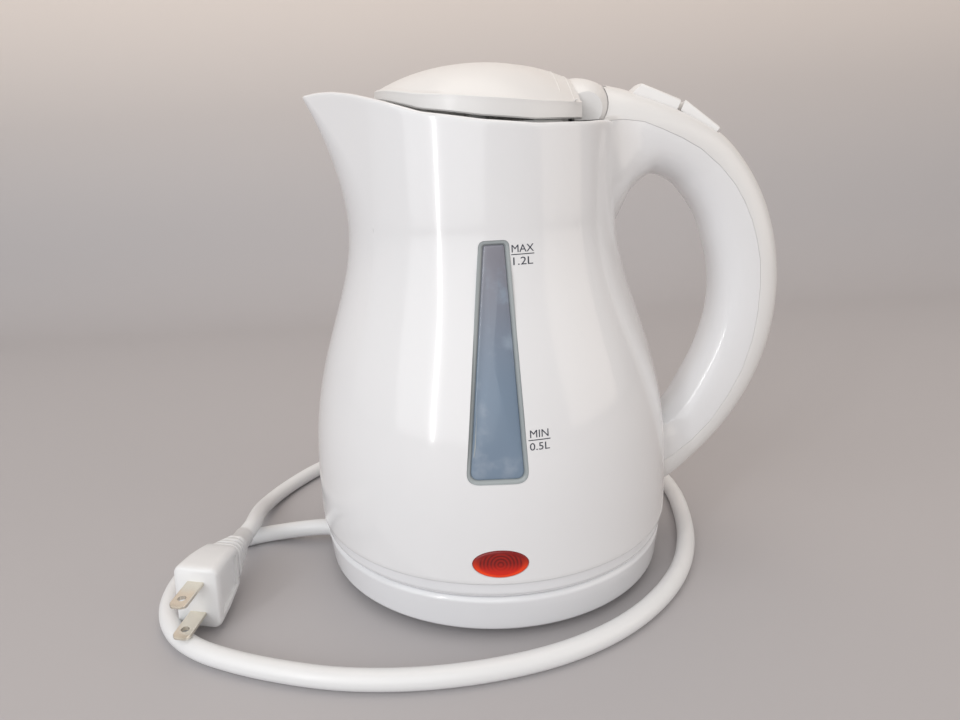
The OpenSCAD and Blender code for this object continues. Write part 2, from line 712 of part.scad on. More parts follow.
module window_gasket() {
    color(silicone) difference() {
        intersection() {
            wall_band(body_wall + 0.15, body_wall + 0.85);
            window_prism(3);
        }
        window_prism(0.4);
    }
}

module lamp_lens() {
    color([0.85, 0.16, 0.05]) {
        intersection() {
            lens_prism(-0.15, belly_r + 2);
            difference() {
                cylinder(h = 60, r = belly_r + 0.6, $fn = 120);
                translate([0, 0, -1]) cylinder(h = 62, r = belly_r - body_wall - 0.4, $fn = 120);
            }
        }
        intersection() {
            lens_prism(1.6, belly_r + 2);
            difference() {
                cylinder(h = 60, r = belly_r - body_wall - 0.3, $fn = 120);
                translate([0, 0, -1]) cylinder(h = 62, r = belly_r - body_wall - 1.6, $fn = 120);
            }
        }
    }
}

module neon_lamp() {
    y = belly_r - body_wall - 6.4;
    color([0.95, 0.55, 0.25]) translate([-6, -y, lens_z]) rotate([0, 90, 0]) {
        cylinder(h = 12, r = 2.6, $fn = 32);
        translate([0, 0, 12]) sphere(2.6, $fn = 32);
    }
    // holder that clips the lamp above the bottom cover's rib
    color(white) translate([-4, -y - 0.6, kettle_z + 2.2]) difference() {
        cube([8, 1.6, lens_z - kettle_z - 2.2 - 2.6 + 1.2]);
    }
}

throat_r = min(waist_r, top_r);
filter_x = 11 - throat_r;
module spout_filter() {
    half = sqrt(pow(throat_r - body_wall, 2) - pow(filter_x, 2)) - 0.75;
    color(soft_white) translate([filter_x, 0, slider_z - 19.4]) difference() {
        translate([-1, -half, 0]) cube([2, 2 * half, 30]);
        for (k = [0:10], m = [0:5]) translate([-2, -half + 2.5 + k * 4.45, 3 + m * 4.2]) cube([4, 3.2, 3]);
    }
}

// ================================================= handle

module handle_frame() {
    color(white) difference() {
        handle_solid(0);
        above_seam(0, false);
        handle_solid(handle_wall, 0, len(HANDLE) - 2);
        body_outside();
        barrel_round(0.6, barrel_half + 0.6);
        latch_openings();
    }
}

module handle_cover() {
    color(white) difference() {
        intersection() {
            handle_solid(0);
            above_seam(0.15, false);
        }
        handle_solid(handle_wall, 0, len(HANDLE) - 2);
        body_solid(-0.1, body_z - 4, 150, 18);
        barrel_round(0.6, barrel_half + 0.6);
        translate([0, -50, slider_z - 17.4]) cube([hinge_x + 2.4, 100, 60]);
        button_frame() translate([0, 0, -14]) linear_extrude(30) button_plan(key_gap);
        switch_frame() translate([0, 0, -14]) linear_extrude(30) switch_plan(key_gap + 0.25);
    }
}

module hinge_bracket() {
    eye = 3.4;
    low = slider_z - 6.4;
    color(white) difference() {
        union() {
            for (s = [-1, 1]) translate([0, s * (arm_in + arm_out) / 2, 0]) {
                side_slab([[bracket_x + bracket_t, low], [bracket_x + bracket_t, low + 6.5], [hinge_x + 6, low + 6.5],
                    [hinge_x + 3.2, low + 10], [hinge_x + 3.2, hinge_z], [hinge_x - 3.2, hinge_z],
                    [hinge_x - 3.2, low + 6.5], [hinge_x + 1, low]], (arm_out - arm_in) / 2);
                translate([hinge_x, (arm_out - arm_in) / 2, hinge_z]) rotate([90, 0, 0])
                    cylinder(h = arm_out - arm_in, r = eye, $fn = 48);
            }
            translate([bracket_x, -arm_out, low - 0.5]) cube([bracket_t, 2 * arm_out, 10]);
        }
        translate([hinge_x, 30, hinge_z]) rotate([90, 0, 0]) cylinder(h = 60, d = hinge_pin_d, $fn = 48);
        translate([bracket_x - 1, -slider_half - 1, slider_z - 1]) cube([bracket_t + 2, 2 * slider_half + 2, 8]);
    }
}

module hinge_pin() {
    color(steel) translate([hinge_x, barrel_half - 1.5, hinge_z]) rotate([90, 0, 0])
        cylinder(h = 2 * barrel_half - 3, d = hinge_pin_d, $fn = 48);
}

module lid_spring() {
    color(steel) translate([hinge_x, 4.5, hinge_z]) rotate([90, 0, 0]) coil(hinge_pin_d / 2 + 1, 0.9, 6, 9);
}

module switch_carrier() {
    back = bracket_x + bracket_t;
    color(white) difference() {
        union() {
            // floor under the slider, fixed to the hinge bracket
            translate([back, -cheek_out, slider_z - 2.4]) cube([24, 2 * cheek_out, 2.2]);
            // cheeks beside the slider that rise to the switch's pivot
            for (s = [-1, 1]) translate([0, s * (cheek_in + cheek_out) / 2, 0])
                side_slab([[back, slider_z - 2.4], [72, slider_z - 2.4], [86, slider_z - 8.8], [88.6, slider_z - 5.9],
                    [PIVOT[0] + 2.4, PIVOT[1] + 0.4], [PIVOT[0] + 1.4, PIVOT[1] + 1.8],
                    [PIVOT[0] - 1.4, PIVOT[1] + 1.8], [PIVOT[0] - 2.4, PIVOT[1]], [76, slider_z + 2.6], [61, slider_z + 2.6],
                    [61, slider_z + slider_t + 2], [back, slider_z + slider_t + 2]],
                    (cheek_out - cheek_in) / 2);
            // bridge over the slider that carries the button's spring
            translate([back, -cheek_out, slider_z + slider_t + 0.6]) cube([59.4 - back, 2 * cheek_out, 1.4]);
            // stop behind the latch spring
            translate([76.4, -cheek_out, slider_z - 2.4]) cube([1.6, 2 * cheek_out, 4.6]);
        }
        translate([PIVOT[0], 20, PIVOT[1]]) rotate([90, 0, 0]) cylinder(h = 40, d = rocker_pin_d, $fn = 48);
    }
}

module rocker_pin() {
    color(steel) translate([PIVOT[0], cheek_out, PIVOT[1]]) rotate([90, 0, 0])
        cylinder(h = 2 * cheek_out, d = rocker_pin_d, $fn = 48);
}

block_len = 13;
block_h = 5.5;
module block_frame() {
    translate([79, 0, slider_z - 9.4]) rotate([0, 37, 0]) children();
}
module switch_block() {
    color(dark) block_frame() translate([0, -cheek_in + 0.2, 0]) cube([block_len, 2 * cheek_in - 0.4, block_h]);
}

module steam_disc() {
    color(brass) translate([bracket_x + bracket_t, 0, slider_z - 6.4]) rotate([0, 90, 0])
        cylinder(h = 0.8, r = 3.8, $fn = 48);
}

// two leads from the switch block down the handle to the body's wall
module handle_leads() {
    start = [for (d = [0.3, 3]) [79 + (block_len + d) * cos(37) + block_h / 2 * sin(37),
        slider_z - 9.4 - (block_len + d) * sin(37) + block_h / 2 * cos(37)]];
    middle = [for (k = [7:14]) HANDLE[k][0] * 0.42 + HANDLE[k][1] * 0.58];
    foot = HANDLE[15][0] * 0.42 + HANDLE[15][1] * 0.58 - [1.4, 1.9];
    finish = [body_r(foot[1] - 2.6) + 0.9, foot[1] - 2.6];
    for (s = [-1, 1])
        color(s > 0 ? [0.45, 0.25, 0.12] : [0.15, 0.35, 0.70])
            tube([for (c = concat(start, middle, [foot, finish])) [c[0], 2.4 * s, c[1]]], 1.1, 8);
}

// ================================================= keys

module key_crown() {
    // long round that crowns a key across its width
    translate([-12, 0, -crown_r]) rotate([0, 90, 0]) cylinder(h = 60, r = crown_r, $fn = 180);
}

module release_button() {
    deep = 7;
    color(soft_white) difference() {
        union() {
            button_frame() intersection() {
                translate([0, 0, -deep]) linear_extrude(deep) button_plan(0);
                key_crown();
            }
            // leg that pushes the slider back
            intersection() {
                button_frame() translate([8.6, -slider_half, -20]) cube([3.4, 2 * slider_half, 16]);
                side_slab(ramp_side(0.35, 20), slider_half);
            }
        }
        // hollow under the top face
        button_frame() translate([2, -6, -deep - 1]) cube([5.6, 12, deep - 1.2]);
        button_frame() translate([13, -6, -deep - 1]) cube([2, 12, deep - 1.2]);
    }
}

// region above the slider's ramp, lifted by gap
function ramp_side(gap, high) = [[ramp_x - 10, slider_z + slider_t + gap - 10 * ramp_rise],
    [ramp_x + 14, slider_z + slider_t + gap + 14 * ramp_rise], [ramp_x + 14, slider_z + high + 10],
    [ramp_x - 10, slider_z + high + 10]];

module latch_slider() {
    ramp_len = 6;
    color(soft_white) side_slab([[nose_x, slider_z], [slider_end, slider_z],
        [slider_end, slider_z + slider_t + (ramp_len - 2) * ramp_rise],
        [ramp_x + ramp_len, slider_z + slider_t + ramp_len * ramp_rise], [ramp_x, slider_z + slider_t],
        [nose_x + 1.2, slider_z + slider_t], [nose_x, slider_z + slider_t - 1]], slider_half);
}

module latch_spring() {
    color(steel) translate([slider_end + 0.3, 0, slider_z + 1.7]) rotate([0, 90, 0])
        coil(1.3, 0.5, 6, 76.4 - slider_end - 0.8);
}

module button_spring() {
    color(steel) button_frame() translate([3.6, 0, -15.2]) coil(1.2, 0.5, 6, 12.6);
}

module power_switch() {
    deep = 4.6;
    color(soft_white) difference() {
        union() {
            difference() {
                switch_frame() intersection() {
                    translate([0, 0, -deep]) linear_extrude(deep) switch_plan(0);
                    key_crown();
                }
                // hollow under the top face
                switch_frame() translate([1.6, -6.7, -deep - 1]) cube([11.6, 13.4, deep - 0.8]);
            }
            // lug that turns on the pin
            intersection() {
                side_slab([[PIVOT[0] - 2.2, PIVOT[1] - 1.6], [PIVOT[0] + 2.2, PIVOT[1] - 1.6],
                    [PIVOT[0] + 6, PIVOT[1] + 12], [PIVOT[0] - 1.6, PIVOT[1] + 12]], cheek_in - 0.3);
                switch_frame() translate([-10, -10, -30]) cube([40, 20, 28.6]);
            }
        }
        button_frame() translate([button_len - key_arc, 0, -40]) cylinder(h = 60, r = key_arc + key_split, $fn = 96);
        translate([PIVOT[0], 20, PIVOT[1]]) rotate([90, 0, 0]) cylinder(h = 40, d = rocker_pin_d + 2 * run, $fn = 48);
    }
}

module toggle_spring() {
    color(steel) translate([83.4, 0, slider_z - 0.8]) rotate([0, 20, 0]) coil(1.4, 0.5, 3, 2.4);
}

// ================================================= lid

// plan of the lid: a round back and a shorter, elliptic front
function lid_plan(a) = let (front = cos(a) < 0 ? lid_front : lid_r) [front * cos(a), lid_r * sin(a)];
function rim_z(x) = lookup(x, RIM);
function ridge_z(x) = lookup(x, RIDGE);
ridge_scale = 0.955;

// a ring of the lid's skin: scale of the plan, inset of the wall, drop below the outer face
function lid_point(a, scale, inset) = let (
    full = lid_plan(a), q = full * (scale * (1 - inset / lid_r)), t = min(scale / ridge_scale, 1),
    ridge = ridge_z(full[0] * ridge_scale), z = ridge + (lid_top - ridge) * (1 - pow(t, 2.4)))
    [min(q[0], lid_cut - inset), q[1], z - inset];
function lid_edge(a, inset) = let (full = lid_plan(a), q = full * (1 - inset / lid_r))
    [min(q[0], lid_cut - inset), q[1], rim_z(q[0]) + seat + 1];

module lid_cover() {
    n = 48;
    outer = [0.955, 0.9, 0.8, 0.66, 0.5, 0.34, 0.18];
    angles = [for (i = [0:n - 1]) (i + 0.5) * 360 / n];
    rings = concat(
        [[for (a = angles) [min(0, lid_cut), 0, lid_top - lid_wall] + [0.5 * cos(a), 0.5 * sin(a), 0]]],
        [for (k = [6:-1:0]) [for (a = angles) lid_point(a, outer[k], lid_wall)]],
        [[for (a = angles) lid_edge(a, lid_wall)]],
        [[for (a = angles) lid_edge(a, 0)]],
        [[for (a = angles) lid_point(a, 0.99, 0) - [0, 0, 0.6]]],
        [for (k = [0:6]) [for (a = angles) lid_point(a, outer[k], 0)]],
        [[for (a = angles) [0.5 * cos(a), 0.5 * sin(a), lid_top]]]);
    color(white) skin(rings);
}

module lid_hinge() {
    hollow = arm_out + 0.5;
    color(white) difference() {
        barrel_round(0, barrel_half);
        // only the upper back quarter is left, and the ends come lower
        translate([lid_cut - 60, -40, hinge_z - 40]) cube([60, 80, 80]);
        translate([lid_cut - 1, -hollow, hinge_z - 40]) cube([60, 2 * hollow, 42.5]);
        translate([lid_cut - 1, -40, hinge_z - 43.7]) cube([60, 80, 40]);
        intersection() {
            barrel_round(-lid_wall, barrel_half);
            translate([lid_cut - 1, -hollow, hinge_z - 40]) cube([60, 2 * hollow, 80]);
        }
        at_hinge() translate([0, 0, -barrel_half + 1]) cylinder(h = 2 * barrel_half - 2, d = hinge_pin_d + 2 * run, $fn = 48);
    }
}

lid_base_z = lid_top - 29.7;
lid_base_r = lid_r - 3;
lid_post_y = lid_r - 19.5;
module lid_base() {
    z = lid_base_z;
    color(white) difference() {
        intersection() {
            union() {
                translate([0, 0, z]) cylinder(h = 2, r = lid_base_r, $fn = 96);
                difference() {
                    translate([0, 0, z]) cylinder(h = 6.6, r = lid_base_r, $fn = 96);
                    translate([0, 0, z - 1]) cylinder(h = 12, r = lid_base_r - 2, $fn = 96);
                }
                // posts that carry the screws up into the lid cover
                for (s = [-1, 1]) translate([0, lid_post_y * s, z]) cylinder(h = 21.1, r = 3.4, $fn = 32);
                // arm that ties the lid base to the hinge part
                for (s = [-1, 1]) translate([20, s * 17 - 2, z]) cube([lid_cut - lid_wall - 20.1, 4, 13]);
            }
            translate([filter_x + 4, -60, z - 1]) cube([lid_cut - 4.1 - filter_x, 120, 40]);
        }
        for (s = [-1, 1]) translate([0, lid_post_y * s, z - 1]) cylinder(h = 14, d = screw_d, $fn = 32);
        translate([28, -15, z - 1]) cube([20, 30, 30]);
        for (s = [-1, 1]) translate([28, s * 30 - 11, z - 1]) cube([20, 22, 30]);
        for (k = [0:5]) translate([-14 + 5 * k, 0, z - 1]) cylinder(h = 4, d = 2.4, $fn = 24);
    }
}

module lid_seal() {
    color(silicone) intersection() {
        translate([0, 0, lid_base_z + 2.5]) difference() {
            union() {
                cylinder(h = 2.4, r = lid_base_r + 1.5, $fn = 96);
                cylinder(h = 0.9, r = lid_base_r + 3.5, $fn = 96);
            }
            translate([0, 0, -1]) cylinder(h = 5, r = lid_base_r + 0.05, $fn = 96);
        }
        translate([filter_x + 4, -60, lid_base_z - 8]) cube([22 - filter_x, 120, 40]);
    }
}

module lid_screws() {
    color(steel) for (s = [-1, 1]) translate([0, lid_post_y * s, lid_base_z - 2]) screw(10);
}

module catch_hook() {
    color(soft_white) difference() {
        side_slab([[hook_x, hinge_z + 2.5], [hook_x + hook_t, hinge_z + 2.5], [hook_x + hook_t, slider_z - 1.4],
            [hook_x + hook_t - 0.6, slider_z - 2], [hook_x, slider_z - 2]], slider_half + 1.4);
        translate([hook_x - 1, -slider_half - 0.3, slider_z - 0.3])
            cube([hook_t + 2, 2 * slider_half + 0.6, slider_t + 0.6]);
    }
}

base_cover();
splash_collar();
base_plate();
base_feet();
base_screws();
base_connector();
connector_contacts();
strain_relief();
cord_clamp();
base_leads();
cord();
plug_body();
plug_blades();
body_shell();
handle_frame();
bottom_cover();
bottom_screws();
heating_plate();
plate_seal();
heat_spreader();
heating_element();
kettle_coupler();
coupler_contacts();
boil_dry_discs();
gauge_window();
window_gasket();
lamp_lens();
neon_lamp();
spout_filter();
handle_cover();
hinge_bracket();
hinge_pin();
lid_spring();
lid_cover();
lid_hinge();
lid_base();
lid_seal();
lid_screws();
catch_hook();
latch_slider();
latch_spring();
switch_carrier();
release_button();
button_spring();
power_switch();
rocker_pin();
toggle_spring();
switch_block();
steam_disc();
handle_leads();
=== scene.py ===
"""Dressed scene of a cordless electric kettle that stands on its power base, with cord and plug."""

import json
import logging
import math
from contextlib import contextmanager
from dataclasses import dataclass, field
from enum import Enum
from typing import Callable, Iterable, Iterator, Sequence

import bmesh
import bpy
import numpy as np
from mathutils import Matrix, Vector
from mathutils.bvhtree import BVHTree


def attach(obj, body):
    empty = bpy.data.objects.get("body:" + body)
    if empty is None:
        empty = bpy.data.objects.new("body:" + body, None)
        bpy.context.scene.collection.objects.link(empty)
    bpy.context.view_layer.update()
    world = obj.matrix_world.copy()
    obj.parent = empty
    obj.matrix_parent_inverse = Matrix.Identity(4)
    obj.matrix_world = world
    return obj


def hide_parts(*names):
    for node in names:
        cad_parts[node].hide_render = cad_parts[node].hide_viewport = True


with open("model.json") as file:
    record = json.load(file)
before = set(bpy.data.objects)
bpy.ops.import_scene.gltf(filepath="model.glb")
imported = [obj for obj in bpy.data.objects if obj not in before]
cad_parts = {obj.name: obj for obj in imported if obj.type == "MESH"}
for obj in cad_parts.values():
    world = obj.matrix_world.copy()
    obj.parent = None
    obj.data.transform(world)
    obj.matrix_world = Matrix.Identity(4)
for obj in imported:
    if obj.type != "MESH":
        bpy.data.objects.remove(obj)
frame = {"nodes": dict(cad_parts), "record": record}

LOG = logging.getLogger("kettle")
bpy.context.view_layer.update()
MM = 0.001
FRAME_W = 960

Point = tuple[float, float, float]
Rings = Sequence[Sequence[Sequence[float]]]


# ---------------------------------------------------------------- shapes shared with the solids

BASE_R, BASE_H = 72.0, 17.4
BODY_Z, WAIST_Z, RIM_TOP, KETTLE_Z = 23.8, 142.0, 191.0, 17.8
BELLY_R, WAIST_R, TOP_R, WALL = 73.5, 52.2, 51.0, 2.6
TIP_REACH, TIP_R = 66.4, 6.0
LEDGE_Z, LEDGE_T, LEDGE_R = 41.0, 2.4, 61.0
LID_TOP, LID_R, LID_FRONT, LID_CUT, LID_WALL = 198.2, 45.5, 38.5, 34.0, 2.0
HINGE_X, HINGE_Z, BARREL_R, BARREL_END_R, BARREL_HALF = 38.0, 179.0, 12.6, 5.8, 20.0
RIM = [
    (-90, 191), (-60, 191), (-53, 190.2), (-45, 188.2), (-33, 184), (-20, 179.3), (0, 175.7),
    (18, 173.8), (36, 174), (44, 174.8), (52, 175),
]
SEAM = [
    (30, 174), (44, 174.8), (52, 175), (59.5, 173.9), (66.6, 171), (74, 167.6), (81.5, 163.3),
    (89, 157), (95, 150.2), (99.2, 143.4), (102.4, 136.4), (104.8, 129), (106.5, 121.3),
    (107.3, 111.5), (107.1, 100.5), (105.8, 89.5), (102.6, 77.2), (97.8, 66.8), (91.6, 56.4),
    (83.6, 47.6), (76, 42), (68, 38), (50, 30),
]
RIDGE = [
    (-39, 191.3), (-30, 188.8), (-20, 186), (0, 183.4), (20, 181.5), (36, 181.2), (40, 183.4),
    (46, 188),
]
HANDLE = [
    ((42, 189.6), (45, 124), 7.5), ((53, 187), (52.8, 140), 6), ((62, 184), (57.6, 149.4), 4.5),
    ((73, 179.5), (65.4, 155.2), 3), ((84, 174), (74.6, 152.4), 1.7),
    ((93, 168), (80.6, 146), 0.7), ((102, 157.6), (85.6, 138), 0.2),
    ((109.2, 145.4), (88.8, 129), 0), ((114.2, 131.4), (91, 121), 0),
    ((116.8, 117), (92.2, 112.5), 0), ((117.2, 102.6), (92.2, 104), 0),
    ((115.4, 88), (90.8, 94.8), 0), ((111.2, 73.6), (87.6, 84.4), 0),
    ((105, 60.6), (82.6, 73.4), 0), ((97, 48.8), (77, 63.2), 0),
    ((87.6, 38.6), (70.6, 55.4), 0.6), ((78, 29.8), (64.2, 54.6), 2), ((70, 24.6), (56, 58), 3),
]
GRIP_HALF, SECTION_POWER, GRIP_WALL = 12.5, 2.5, 2.2
BUTTON_AT, BUTTON_TILT, BUTTON_LEN = (61.2, 188.2), 23.6, 17.2
SWITCH_AT, SWITCH_TILT, SWITCH_LEN = (78.6, 180.7), 37.6, 17.2
KEY_HALF, KEY_ARC, KEY_SPLIT, CROWN_R = 8.0, 22.0, 1.3, 40.0
KEY_GAP, SWITCH_ARC = 0.35, 16.0
BUTTON_FRONT, SWITCH_FRONT = -0.4, -6.0
WINDOW_Z, WINDOW_H, WINDOW_W, WINDOW_TOP_W, WINDOW_LEAN = 60.5, 77.6, 21.0, 10.0, 2.2
LENS_Z, LENS_W, LENS_H, LENS_RING_PITCH = 31.9, 19.4, 10.6, 1.2
ROUTE = [
    (-73, 0, 7), (-79, 0, 7), (-86, 0.8, 6.1), (-94, 2, 4.6), (-103, 1.4, 3.7),
    (-111.6, -1.8, 3.6), (-119.4, -7.6, 3.6), (-126, -17, 3.6), (-129.6, -29, 3.6),
    (-130, -41, 3.6), (-126.8, -54, 3.6), (-119.6, -65.6, 3.6), (-108.6, -74.8, 3.6),
    (-94, -81.6, 3.6), (-75, -87.6, 3.6), (-53, -92, 3.6), (-28, -92.8, 3.6), (-3, -89.6, 3.6),
    (21, -82.4, 3.6), (42.4, -70.6, 3.6), (60, -54.8, 3.6), (73.4, -36.4, 3.6), (82.4, -16, 3.6),
    (87.8, 5.6, 3.6), (90.6, 28, 3.6), (88.6, 51, 3.6), (80, 73, 3.6), (65.6, 92, 3.6),
    (45.4, 106, 3.6), (21, 114.8, 3.6), (-5, 117.4, 3.6), (-31, 113.6, 3.6), (-55, 103.6, 3.6),
    (-76.4, 88.2, 3.6), (-94, 68.4, 3.6), (-105.6, 47, 3.8), (-110.4, 28, 5.4),
    (-108.8, 9, 10.4), (-105.56, -11, 15), (-106.4, -19, 15),
]
CORD_D = 7.2
# how fast the belly narrows to the waist, and how fast the lip reaches forward above it
BELLY_POWER, LIP_POWER = 1.54, 1.8
MARK_STAND = 0.05
# level marks: words, start and end round the jug, height and size; a line has no words
MARKS = [
    ("MAX", (8.0, 15.6), 133.9, 2.4), ("", (7.8, 15.7), 133.2, 0.28),
    ("1.2L", (8.4, 15.2), 129.8, 2.5), ("MIN", (11.2, 17.5), 75.4, 2.4),
    ("", (10.6, 18.1), 74.6, 0.28), ("0.5L", (11.0, 17.8), 71.3, 2.4),
]
PLUG_AT, PLUG_TURN, PLUG_ROLL = (-106.4, -19.0, 15.0), 174.0, -4.0
PLUG_W, PLUG_H, PLUG_LEN, NECK_LEN = 17.0, 25.0, 22.0, 21.5
BLADE_PITCH, BLADE_W, BLADE_T, BLADE_LEN = 12.7, 6.3, 1.5, 14.5
# how far the cutting tools reach to the side and to the rear
FAR = 90.0
# room round the barrel: in the jug, in the handle's cover, and at its ends
HINGE_GAP, COVER_GAP, END_GAP = 0.25, 0.22, 0.3
# room for the lid's edge in the cover, and how far above the hinge's axis it starts
SWEEP_GAP, SWEEP_LOW = 1.0, 8.0


def lookup(x: float, table: Sequence[tuple[float, float]]) -> float:
    """Straight-line value of a table of (x, value) pairs at x."""
    return float(np.interp(x, [p[0] for p in table], [p[1] for p in table]))


def smooth_lookup(x: float, table: Sequence[tuple[float, float]], spread: float = 3.0) -> float:
    """Value of a table of (x, value) pairs at x, with its corners rounded over a distance."""
    offsets = np.linspace(-spread, spread, 9)
    weights = 1.0 - np.abs(offsets) / (spread * 1.2)
    values = [lookup(x + o, table) for o in offsets]
    return float(np.dot(weights, values) / weights.sum())


def body_radius(z: float) -> float:
    """Radius of the jug's outer face at a height."""
    if z >= WAIST_Z:
        return WAIST_R + (TOP_R - WAIST_R) * min((z - WAIST_Z) / (RIM_TOP - WAIST_Z), 1.0)
    t = max(z - BODY_Z, 0.0) / (WAIST_Z - BODY_Z)
    return WAIST_R + (BELLY_R - WAIST_R) * (1.0 + math.cos(math.pi * t ** BELLY_POWER)) / 2.0


def body_point(z: float, inset: float, a: float) -> Point:
    """Point of the jug's section whose normal points in direction a, moved in by inset.

    Args:
        z: Height.
        inset: Distance inwards from the outer face.
        a: Direction of the normal, in radians from +X.

    Returns:
        The point, in millimetres.
    """
    r = body_radius(z)
    rise = min(max(z - WAIST_Z, 0.0) / (RIM_TOP - WAIST_Z), 1.0)
    reach = WAIST_R + (TIP_REACH - WAIST_R) * rise ** LIP_POWER
    slope = (TOP_R - TIP_R) / (TIP_REACH - TIP_R)
    lip = min(r, (r - slope * reach) / (1.0 - slope))
    if z <= WAIST_Z or r >= lip - (reach - lip) * math.cos(a):
        return ((r - inset) * math.cos(a), (r - inset) * math.sin(a), z)
    return (lip - reach + (lip - inset) * math.cos(a), (lip - inset) * math.sin(a), z)


# ---------------------------------------------------------------- mesh helpers

def placed(name: str, data: bpy.types.ID) -> bpy.types.Object:
    """Puts a mesh, curve, lamp or camera into the scene as an object."""
    obj = bpy.data.objects.new(name, data)
    bpy.context.scene.collection.objects.link(obj)
    return obj


@contextmanager
def edited(mesh: bpy.types.Mesh) -> Iterator[bmesh.types.BMesh]:
    """Opens a mesh for editing and writes it back."""
    bm = bmesh.new()
    bm.from_mesh(mesh)
    yield bm
    bm.to_mesh(mesh)
    bm.free()


def close_seams(bm: bmesh.types.BMesh, distance: float) -> None:
    """Merges corners nearer than a distance in metres and turns all faces outwards."""
    bmesh.ops.remove_doubles(bm, verts=bm.verts, dist=distance)
    bmesh.ops.dissolve_degenerate(bm, edges=bm.edges, dist=1e-7)
    bmesh.ops.recalc_face_normals(bm, faces=bm.faces)


def around(count: int) -> np.ndarray:
    """Directions evenly round a circle."""
    return np.linspace(0, math.tau, count + 1)[:-1]


def make_object(name: str, points: Iterable[Sequence[float]],
                faces: Iterable[Sequence[int]], merge: float = 0.0005) -> bpy.types.Object:
    """Makes a smooth-shaded mesh object from points in millimetres.

    Args:
        name: Name of the piece.
        points: Corners in millimetres.
        faces: Corner numbers of each face.
        merge: Distance in millimetres under which corners are merged.

    Returns:
        The new object, with its place in its mesh.
    """
    mesh = bpy.data.meshes.new(name)
    mesh.from_pydata([tuple(c * MM for c in p) for p in points], [], [tuple(f) for f in faces])
    with edited(mesh) as bm:
        close_seams(bm, merge * MM)
    mesh.shade_smooth()
    return placed(name, mesh)


def skin(rings: Rings, closed: bool = True, caps: bool = True) -> tuple[list, list]:
    """Joins rings of equal length into a skin.

    Args:
        rings: The rings, one after another.
        closed: Whether each ring closes on itself.
        caps: Whether the first and last ring are filled.

    Returns:
        Points and faces.
    """
    n = len(rings[0])
    points = [p for ring in rings for p in ring]
    faces = []
    for k in range(len(rings) - 1):
        for i in range(n if closed else n - 1):
            j = (i + 1) % n
            faces.append((k * n + i, k * n + j, (k + 1) * n + j, (k + 1) * n + i))
    if caps:
        faces.append(tuple(range(n)))
        faces.append(tuple((len(rings) - 1) * n + i for i in range(n)))
    return points, faces


def finished_mesh(obj: bpy.types.Object) -> bpy.types.Object:
    """Turns an object's modifiers into plain mesh and removes them."""
    graph = bpy.context.evaluated_depsgraph_get()
    graph.update()
    mesh = bpy.data.meshes.new_from_object(obj.evaluated_get(graph), depsgraph=graph)
    obj.modifiers.clear()
    obj.data = mesh
    return obj


def cut(obj: bpy.types.Object, tools: Sequence[bpy.types.Object],
        solver_mode: str = "DIFFERENCE") -> bpy.types.Object:
    """Cuts an object with others and deletes them.

    Args:
        obj: The object that is cut.
        tools: The cutting objects.
        solver_mode: The kind of cut.

    Returns:
        The object, with plain mesh.
    """
    for tool in tools:
        boolean = obj.modifiers.new("cut", "BOOLEAN")
        boolean.operation = solver_mode
        boolean.solver = "EXACT"
        boolean.object = tool
    finished_mesh(obj)
    for tool in tools:
        bpy.data.objects.remove(tool)
    return obj


def crease(obj: bpy.types.Object, degrees: float = 35.0) -> bpy.types.Object:
    """Marks edges sharper than an angle as sharp, with the rest smooth."""
    mesh = obj.data
    mesh.shade_smooth()
    limit = math.radians(degrees)
    with edited(mesh) as bm:
        for edge in bm.edges:
            edge.smooth = len(edge.link_faces) == 2 and edge.calc_face_angle(0.0) < limit
    return obj


def slab(name: str, outline: Sequence[tuple[float, float]], half: float) -> bpy.types.Object:
    """A slab along Y, drawn by an outline in the side view (x, z)."""
    rings = [[(x, y, z) for x, z in outline] for y in (-half, half)]
    return make_object(name, *skin(rings))


def block(name: str, low: tuple[float, float], high: tuple[float, float],
          half: float) -> bpy.types.Object:
    """A square slab along Y between two corners of the side view (x, z)."""
    (x0, z0), (x1, z1) = low, high
    return slab(name, [(x0, z0), (x1, z0), (x1, z1), (x0, z1)], half)


def catmull(points: Sequence[Sequence[float]], steps: int) -> list[np.ndarray]:
    """A smooth curve through points.

    Args:
        points: The points that the curve passes through.
        steps: How many steps each stretch takes.

    Returns:
        The points of the curve.
    """
    p = [np.asarray(q, float) for q in points]
    p = [2 * p[0] - p[1], *p, 2 * p[-1] - p[-2]]
    out = []
    for k in range(1, len(p) - 2):
        a, b, c, d = p[k - 1:k + 3]
        knots = [0.0]
        for u, v in ((a, b), (b, c), (c, d)):
            knots.append(knots[-1] + max(float(np.linalg.norm(v - u)) ** 0.5, 1e-6))
        t0, t1, t2, t3 = knots
        for s in range(steps):
            t = t1 + (t2 - t1) * s / steps
            a1 = (t1 - t) / (t1 - t0) * a + (t - t0) / (t1 - t0) * b
            a2 = (t2 - t) / (t2 - t1) * b + (t - t1) / (t2 - t1) * c
            a3 = (t3 - t) / (t3 - t2) * c + (t - t2) / (t3 - t2) * d
            b1 = (t2 - t) / (t2 - t0) * a1 + (t - t0) / (t2 - t0) * a2
            b2 = (t3 - t) / (t3 - t1) * a2 + (t - t1) / (t3 - t1) * a3
            out.append((t2 - t) / (t2 - t1) * b1 + (t - t1) / (t2 - t1) * b2)
    out.append(p[-2])
    return out


# ---------------------------------------------------------------- node helpers

FLOAT, COLOR, WHOLE = "NodeSocketFloat", "NodeSocketColor", "NodeSocketInt"
SHAPE = "NodeSocketGeometry"


